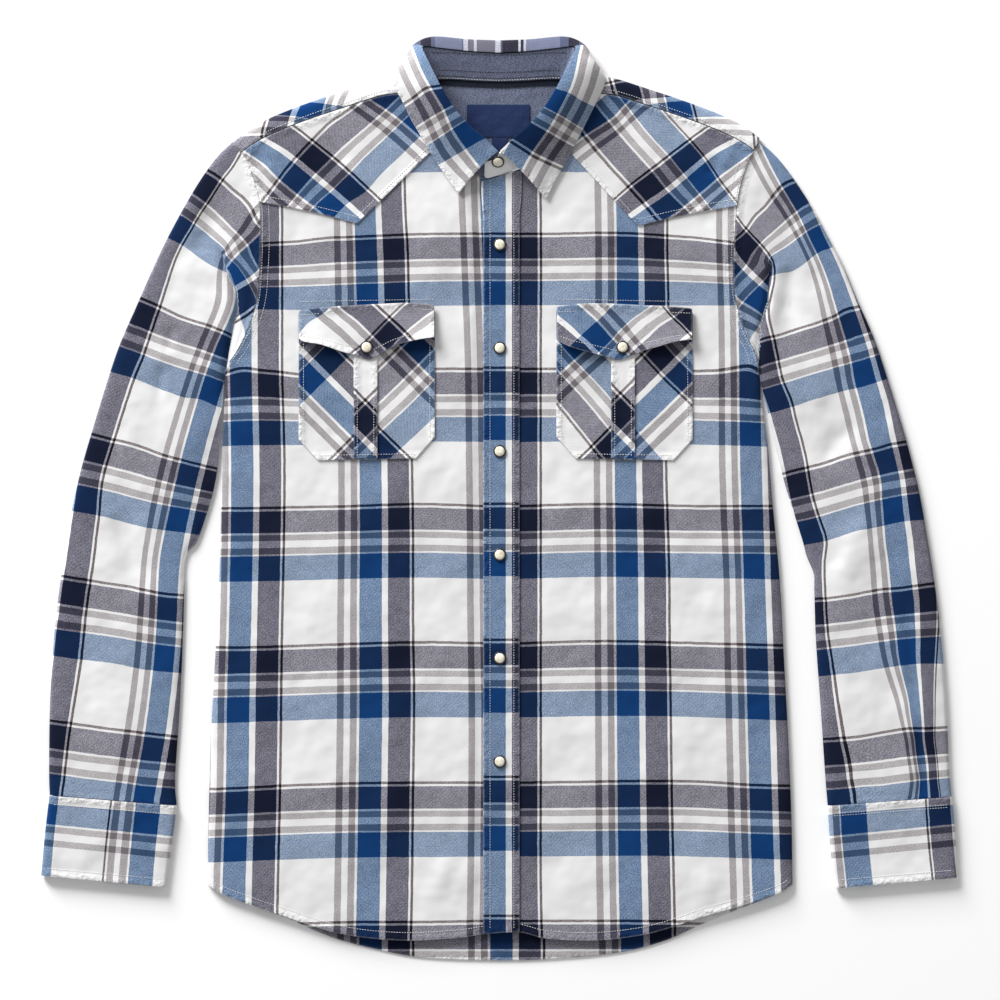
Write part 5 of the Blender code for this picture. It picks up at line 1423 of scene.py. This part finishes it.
CLOSE_RINGS, WIDE_RINGS = 2.0, 4.2  # rings of the mesh beside the armhole and below it
for side, stations in SLEEVES.items():
    (top_x, top_y), (pit_x, pit_y) = armhole_point(side, 0.0), armhole_point(side, 1.0)
    rows = [(k, *row) for k, row in enumerate([(top_x, top_y, pit_x, pit_y, 1.0), *stations])]
    places = []
    for k, (here, beyond) in enumerate(zip(rows, rows[1:])):
        apart = np.hypot(beyond[1] - here[1], beyond[2] - here[2])
        count = max(3, int(apart / (CLOSE_RINGS if k < 4 else WIDE_RINGS)))
        places.extend(np.linspace(k, k + 1, count, endpoint=False))
    places.append(len(rows) - 1)
    rings = []
    for place in places:
        outer, inner, width, curve = station(rows, place)

        def across_sleeve(v):
            share = fanned(v)[:, None]
            level = mix(armhole_point(side, np.zeros(1)), armhole_point(side, np.ones(1)), share)
            return mix(outer, inner, share) + (armhole_point(side, v) - level) * curve

        ring, under_count = tube_ring(across_sleeve, width, LOFT, True, side, float(hermite(SAG, place)))
        rings.append(ring)
    points = np.array(rings)
    weave = tube_weave(points, under_count, side)
    to_seam = run(points[:, under_count + 20])
    rim = np.minimum(to_seam, to_seam[-1] - to_seam + 3)[:, None] + 0 * points[..., 0]
    if side == "right":
        points, weave, rim = (a[::-1] for a in (points, weave, rim))
    made = cloth(f"sleeve_{side}_cloth", points, weave, CLOTH, plaid_cotton, rim, closed=True)
    sewn(made)

# === Cuffs =======================================================================================
# Barrel cuffs, two plies of the plaid turned a quarter round with a light interfacing, sewn on over
# the sleeve's end.

# Each row is one station down a cuff: x and y of its outer edge, x and y of its inner one
CUFFS = {
    "right": ((-422.7, -278.4, -302.8, -288.1), (-427, -315, -308, -327), (-430.5, -353.5, -313, -364.5)),
    "left": ((425.9, -279.6, 308.9, -288.1), (429, -315, 311.5, -327), (430.5, -355.5, 315.5, -365.5)),
}
CUFF_LOFT, CUFF_WALL, CUFF_DEPTH = 7.0, 1.6, 77.5
# Down the cuff the stripes run as they do across the shirt, from the blue to the white ground
CUFF_STRIPES_DOWN = (
    (7.8, "white"), (20.2, "blue"), (2.2, "white"), (5.8, "grey"), (7.2, "white"), (5.8, "grey"),
    (80.0, "white"),
)
CUFF_STRIPES_ACROSS = {
    "right": (
        (8.5, "blue"), (48.5, "white"), (1.8, "dark"), (1.8, "white"), (6.8, "grey"), (5.2, "white"),
        (7.2, "grey"), (1.6, "white"), (23.6, "blue"), (60.0, "white"),
    ),
    "left": (
        (3.6, "white"), (6.0, "grey"), (1.6, "white"), (24.6, "blue"), (55.2, "white"), (1.8, "dark"),
        (1.6, "white"), (20.2, "navy"), (60.0, "white"),
    ),
}
for side, corners in CUFFS.items():
    rows = [(k, *row) for k, row in enumerate(corners)]
    points, along = [], []
    for place in np.linspace(0, len(corners) - 1, 25):
        outer, inner, width = station(rows, place)
        ring, under_count = tube_ring(lambda v: mix(outer, inner, v[:, None]), width, CUFF_LOFT, False)
        left_end = outer if side == "right" else inner
        points.append(ring)
        along.append((ring[:, :2] - left_end) @ unit((inner - outer) * (1 if side == "right" else -1)))
    points, along = np.array(points), np.array(along)
    down = np.linspace(0, CUFF_DEPTH, len(points))[:, None] + 0 * along
    turn_under(along, under_count)
    weave, rim = np.stack([along, down], -1), np.minimum(down, CUFF_DEPTH - down)
    if side == "right":
        points, weave, rim = (a[::-1] for a in (points, weave, rim))
    cuff_cotton = plaid(f"plaid cotton twill, {side} cuff cut", CUFF_STRIPES_ACROSS[side], CUFF_STRIPES_DOWN)
    made = cloth(f"cuff_{side}_cloth", points, weave, CUFF_WALL, cuff_cotton, rim, closed=True)
    sewn(made)

# === Snaps =======================================================================================
# Pearl snaps: a cream resin cap held in a dark nickelled ring, six down the placket, one on each
# flap and one on the collar's tab, each riveted through the cloth.

# Half outlines, turned round the snap's axis: radius, height
RING = (
    (4.3, 0.0), (5.7, 0.0), (6.0, 0.35), (6.0, 0.85), (5.75, 1.2), (5.3, 1.3), (4.95, 1.25), (4.75, 0.9),
    (4.3, 0.7),
)
CAP = ((0.0, 0.1), (4.5, 0.1), (4.72, 0.5), (4.62, 1.2), (4.2, 1.66), (3.2, 1.98), (1.6, 2.16), (0.0, 2.2))
SNAP_SIDES, SNAP_SMOOTH_ANGLE = 40, 50.0
NECK_BASE = 0.65  # how far the neck snap's base lies below the middle of its box

# Blackened nickel: pressed brass with a dark plated finish, a soft gloss with fine rubbed marks
nickel, tree, shader = surface("blackened nickel, pressed", 0.34, Metallic=0.9)
solid = add_node(tree, "ShaderNodeTexCoord")
rubbed = add_node(
    tree, "ShaderNodeTexNoise", {"Vector": solid.outputs["Object"], "Scale": 900.0, "Detail": 3.0},
)
tone = add_node(
    tree, "ShaderNodeMix", {0: rubbed.outputs["Fac"], 6: linear("#26262A"), 7: linear("#5A5A60")},
    data_type="RGBA",
)
dull = add_node(tree, "ShaderNodeMapRange", {0: rubbed.outputs["Fac"], 3: 0.25, 4: 0.5})
tree.links.new(tone.outputs[2], shader.inputs["Base Color"])
tree.links.new(dull.outputs[0], shader.inputs["Roughness"])

# Pearl resin: cast polyester with a drifting shell-like sheen under a clear polished face
pearl, tree, shader = surface("pearl resin, cast", 0.24, Coat_Weight=0.5, Coat_Roughness=0.1)
solid = add_node(tree, "ShaderNodeTexCoord")
drift = add_node(
    tree, "ShaderNodeTexNoise",
    {"Vector": solid.outputs["Object"], "Scale": 210.0, "Detail": 2.0, "Distortion": 1.2},
)
tone = add_node(tree, "ShaderNodeValToRGB", (drift.outputs["Fac"],))
tone.color_ramp.elements[0].position, tone.color_ramp.elements[0].color = 0.32, linear("#D2C8AC")
tone.color_ramp.elements[1].position, tone.color_ramp.elements[1].color = 0.62, linear("#F3EFE0")
layers = add_node(
    tree, "ShaderNodeBump", {"Height": drift.outputs["Fac"], "Distance": 0.0002, "Strength": 0.3},
)
tree.links.new(tone.outputs["Color"], shader.inputs["Base Color"])
tree.links.new(layers.outputs[0], shader.inputs["Normal"])


def turned(name, profile, finish, seat, tilt):
    """A ring or cap turned about its axis from (radius, height) points, set on its seat."""
    builder = bmesh.new()
    angles = [2 * math.pi * k / SNAP_SIDES for k in range(SNAP_SIDES)]
    rings = [
        [builder.verts.new((r * math.cos(a), r * math.sin(a), h)) for a in (angles if r else [0.0])]
        for r, h in profile
    ]
    closed = profile[0][0] > 0
    for low, high in zip(rings, rings[1:] + (rings[:1] if closed else [])):
        for k in range(SNAP_SIDES):
            n = (k + 1) % SNAP_SIDES
            if len(low) == len(high) == 1:
                continue
            corners = [low[k % len(low)], low[n % len(low)], high[n % len(high)], high[k % len(high)]]
            builder.faces.new(list(dict.fromkeys(corners)))
    bmesh.ops.recalc_face_normals(builder, faces=builder.faces)
    bmesh.ops.scale(builder, vec=(MM, MM, MM), verts=builder.verts)
    bmesh.ops.transform(
        builder, matrix=Matrix.Translation(seat) @ Matrix.Rotation(tilt, 4, "X"), verts=builder.verts,
    )
    mesh = bpy.data.meshes.new(name)
    builder.to_mesh(mesh)
    builder.free()
    mesh.materials.append(finish)
    mesh.shade_smooth()
    mesh.set_sharp_from_angle(angle=math.radians(SNAP_SMOOTH_ANGLE))
    return put(name, mesh)


foot, roll = np.array(COLLAR[0][1]), np.array(COLLAR[0][2])
tab_tilt = math.atan2(roll[2] - foot[2], roll[1] - foot[1])
for place in [f"front_{k}" for k in range(1, 7)] + ["pocket_right", "pocket_left", "neck"]:
    low, high = (Vector(corner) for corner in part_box("snap_ring_" + place))
    tilt = tab_tilt if place == "neck" else 0.0
    seat = (low + high) / 2
    lift = Vector((0, -math.sin(tilt), math.cos(tilt))) * NECK_BASE * MM
    seat = seat - lift if place == "neck" else Vector((seat.x, seat.y, low.z))
    for part, profile, finish, slot in (
        ("ring", RING, nickel, "snap_metal"), ("cap", CAP, pearl, "snap_pearl"),
    ):
        made = turned(f"snap_{part}_{place}_turned", profile, finish, seat, tilt)
        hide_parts(f"snap_{part}_{place}")
        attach(made, "root")

# === Stitching ===================================================================================
# Lockstitched topstitching in thick thread, cream on the shell and navy on the chambray stand. The
# machine makes ten stitches to 25 mm; each shows as a short raised bead of thread.

STITCH_PITCH, STITCH_LENGTH, STITCH_THICKNESS, NAVY_THICKNESS = 2.5, 1.65, 0.55, 0.9
STITCH_LIFT, RAY_HEIGHT = 0.12, 60.0
SMALLEST, LARGEST = (0.85, 0.85, 0.82), (1.15, 1.15, 1.1)  # how unevenly the beads are pulled


def thread(name, light, dark):
    """Cotton thread: matt, with the hairs and plies of its twist as fine pale and dark flecks."""
    made, tree, shader = surface(name, 0.7, Specular_IOR_Level=0.3, Sheen_Weight=0.1)
    solid = add_node(tree, "ShaderNodeTexCoord")
    plies = add_node(
        tree, "ShaderNodeTexNoise", {"Vector": solid.outputs["Object"], "Scale": 1500.0, "Detail": 1.0},
    )
    tone = add_node(
        tree, "ShaderNodeMix", {0: plies.outputs["Fac"], 6: linear(dark), 7: linear(light)}, data_type="RGBA",
    )
    tree.links.new(tone.outputs[2], shader.inputs["Base Color"])
    return made


cream_thread = thread("cotton thread, cream", "#ECEBE8", "#CAC9C7")
navy_thread = thread("cotton thread, navy", "#12182A", "#0A0E1A")

# A tree that sews beads of thread along every edge of the mesh it is given
sewing = bpy.data.node_groups.new("sewing", "GeometryNodeTree")
SEWING_INPUTS = (
    ("Rows", "Geometry", None), ("Pitch", "Float", STITCH_PITCH * MM),
    ("Length", "Float", STITCH_LENGTH * MM), ("Thickness", "Float", STITCH_THICKNESS * MM),
    ("Seed", "Int", 7), ("Thread", "Material", None),
)
for label, kind, default in SEWING_INPUTS:
    socket = sewing.interface.new_socket(label, in_out="INPUT", socket_type="NodeSocket" + kind)
    if default is not None:
        socket.default_value = default
sewing.interface.new_socket("Stitches", in_out="OUTPUT", socket_type="NodeSocketGeometry")
given = add_node(sewing, "NodeGroupInput")
rows_curve = add_node(sewing, "GeometryNodeMeshToCurve", (given.outputs["Rows"],))
spaced = add_node(
    sewing, "GeometryNodeResampleCurve", {"Curve": rows_curve, "Length": given.outputs["Pitch"]},
    mode="LENGTH",
)
points_on = add_node(sewing, "GeometryNodeCurveToPoints", {"Curve": spaced}, mode="EVALUATED")
bead = add_node(sewing, "GeometryNodeMeshUVSphere", {"Segments": 6, "Rings": 4, "Radius": 0.5})
size = add_node(
    sewing, "ShaderNodeCombineXYZ",
    (given.outputs["Thickness"], given.outputs["Thickness"], given.outputs["Length"]),
)
uneven = add_node(
    sewing, "FunctionNodeRandomValue", {"Seed": given.outputs["Seed"]}, data_type="FLOAT_VECTOR",
)
uneven.inputs[0].default_value, uneven.inputs[1].default_value = SMALLEST, LARGEST
each_size = add_node(sewing, "ShaderNodeVectorMath", (size, uneven), operation="MULTIPLY")
beads = add_node(
    sewing, "GeometryNodeInstanceOnPoints",
    {"Points": points_on, "Instance": bead, "Rotation": points_on.outputs["Rotation"], "Scale": each_size},
)
real = add_node(sewing, "GeometryNodeRealizeInstances", (beads,))
coloured = add_node(
    sewing, "GeometryNodeSetMaterial", {"Geometry": real, "Material": given.outputs["Thread"]},
)
add_node(sewing, "NodeGroupOutput", (coloured,))


def faces_of(name):
    """The named piece's faces in mm, for rays to be cast at."""
    mesh = bpy.data.objects[name].data
    places = np.empty(len(mesh.vertices) * 3)
    mesh.vertices.foreach_get("co", places)
    return BVHTree.FromPolygons(
        (places.reshape(-1, 3) / MM).tolist(), [tuple(p.vertices) for p in mesh.polygons],
    )


def on_top(trees, x, y):
    """The height of the highest face under a place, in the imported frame."""
    hits = [tree.ray_cast(Vector((x, y, RAY_HEIGHT)), Vector((0, 0, -1)))[0] for tree in trees]
    return max((hit.z for hit in hits if hit is not None), default=None)


def sew(name, rows, finish, thickness=STITCH_THICKNESS):
    """Sews rows of stitches: each row is (names of the pieces under it, its places in mm). A row
    breaks off where there is no cloth under it."""
    vertices, edges, known = [], [], {}
    for pieces, places in rows:
        for piece in pieces:
            known.setdefault(piece, faces_of(piece))
        trees = [known[piece] for piece in pieces]
        steps = run(places[:, :2])
        at = np.linspace(0, steps[-1], max(int(steps[-1] / STITCH_PITCH), 2))
        x_at, y_at = np.interp(at, steps, places[:, 0]), np.interp(at, steps, places[:, 1] + ORIGIN_SHIFT[1])
        last = None
        for x, y in zip(x_at, y_at):
            z = on_top(trees, x, y)
            if z is not None:
                vertices.append((x * MM, y * MM, (z + STITCH_LIFT) * MM))
            if z is not None and last is not None:
                edges.append((last, len(vertices) - 1))
            last = None if z is None else len(vertices) - 1
    mesh = bpy.data.meshes.new(name + "_rows")
    mesh.from_pydata(vertices, edges, [])
    holder = put(name + "_rows", mesh)
    modifier = holder.modifiers.new("sewing", "NODES")
    modifier.node_group = sewing
    chosen = {"Thread": finish, "Thickness": thickness * MM}
    for item in sewing.interface.items_tree:
        if item.item_type == "SOCKET" and item.in_out == "INPUT" and item.name in chosen:
            modifier[item.identifier] = chosen[item.name]
    made_mesh = bpy.data.meshes.new_from_object(holder.evaluated_get(bpy.context.evaluated_depsgraph_get()))
    bpy.data.objects.remove(holder)
    made_mesh.name = name
    made_mesh.shade_smooth()
    made = put(name, made_mesh)
    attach(made, "root")


def column(x, y0, y1, count):
    y = np.linspace(y0, y1, count)
    return np.column_stack([np.full(count, x) if np.isscalar(x) else x(y), y])


def row_of(y, x0, x1, count):
    x = np.linspace(x0, x1, count)
    return np.column_stack([x, y(x)])


def round_cuff(side, drop):
    """A row across a cuff, this far down it."""
    (ox, oy, ix, iy), (wx, wy, jx, jy) = CUFFS[side][0], CUFFS[side][2]
    t = drop / CUFF_DEPTH
    return np.linspace((mix(ox, wx, t), mix(oy, wy, t)), (mix(ix, jx, t), mix(iy, jy, t)), 40)[2:-2]


# How far in from their edges the rows run
YOKE_INSET, HEM_INSET, FOLD_INSET, ARMHOLE_INSETS = 6.2, 7.5, 3.6, (1.8, 8.0)
POCKET_INSET, PLEAT_INSET, FLAP_SHARE, CUFF_INSET = 4.6, 3.4, 0.84, 7.5
FLAP_SEAM_Y = POCKET_TOP_Y + 5.5
CUFF_TOP_ROWS = {"right": (8.2,), "left": (7.2, 9.6)}
STAND_ROWS = ((56, 2.9), (56, 8.4), (62, 24.6))  # half width, height above the stand's foot
rows = []
for x in (-8.4, 14.0):
    rows.append((["placket_cloth"], column(x, -402, 304, 200)))
for side, sign in (("right", -1), ("left", 1)):
    panel, yoke, pocket, pleat, flap = (
        f"{stem}_{side}_cloth"
        for stem in ("front_panel", "front_yoke", "pocket", "pocket_pleat", "pocket_flap")
    )
    shell = [panel, yoke]
    for inset in ARMHOLE_INSETS:
        rows.append((shell, column(lambda y: side_x(y, side) - sign * inset, 128, 316, 80)))
    hem_x = (-268, -16) if side == "right" else (22, 270)
    rows.append(([panel], row_of(lambda x: hermite(FRONT_HEM, x) + HEM_INSET, *hem_x, 120)))
    point_x = YOKES[side][1] - 1
    for from_x, to_x in ((64, point_x), (point_x, 222)):
        edge = row_of(lambda x: yoke_edge_y(x, side) + YOKE_INSET, sign * from_x, sign * to_x, 40)
        rows.append(([yoke], edge))
    edge = row_of(lambda x: shoulder_seam_y(x) + FOLD_INSET, sign * 76, sign * 234, 60)
    rows.append((["back_yoke_cloth"], edge))
    centre, pleat_x, _ = POCKETS[side]
    slope = sign * POCKET_SLOPE
    for end in (-1, 1):
        x = centre + end * (POCKET_HALF_WIDTH - POCKET_INSET)
        rows.append(([pocket], column(x, POCKET_BOTTOM_Y + 22, POCKET_TOP_Y - 36, 50)))
        rows.append(
            ([pleat], column(pleat_x + end * (PLEAT_HALF_WIDTH - PLEAT_INSET), POCKET_BOTTOM_Y + 4, 96, 30))
        )
    for pieces, level, half_width in (
        ([pocket, pleat], POCKET_BOTTOM_Y + POCKET_INSET, 44), ([panel], FLAP_SEAM_Y, 62),
    ):
        edge = row_of(lambda x: level - (x - centre) * slope, centre - half_width, centre + half_width, 40)
        rows.append((pieces, edge))
    for end in (-1, 1):
        corner = flap_point(side, np.array([end * 0.96, end * 0.72]), np.array([0.16, 0.16]))[:, :2]
        rows.append(([flap], np.linspace(corner[0], corner[1], 8)))
    rows.append(([flap], flap_point(side, np.linspace(-0.93, 0.93, 60), np.full(60, FLAP_SHARE))[:, :2]))
    for drop in (*CUFF_TOP_ROWS[side], CUFF_DEPTH - CUFF_INSET):
        rows.append(([f"cuff_{side}_cloth"], round_cuff(side, drop)))
rows.append((["collar_stand_cloth"], row_of(lambda x: stand_foot_y(x) + 1.0, -56, 56, 50)))
sew("stitching_cream", rows, cream_thread)

rows = []
for half_width, height in STAND_ROWS:
    edge = row_of(lambda x: stand_foot_y(x) + height, -half_width, half_width, 50)
    rows.append((["collar_stand_cloth"], edge))
sew("stitching_navy", rows, navy_thread, NAVY_THICKNESS)
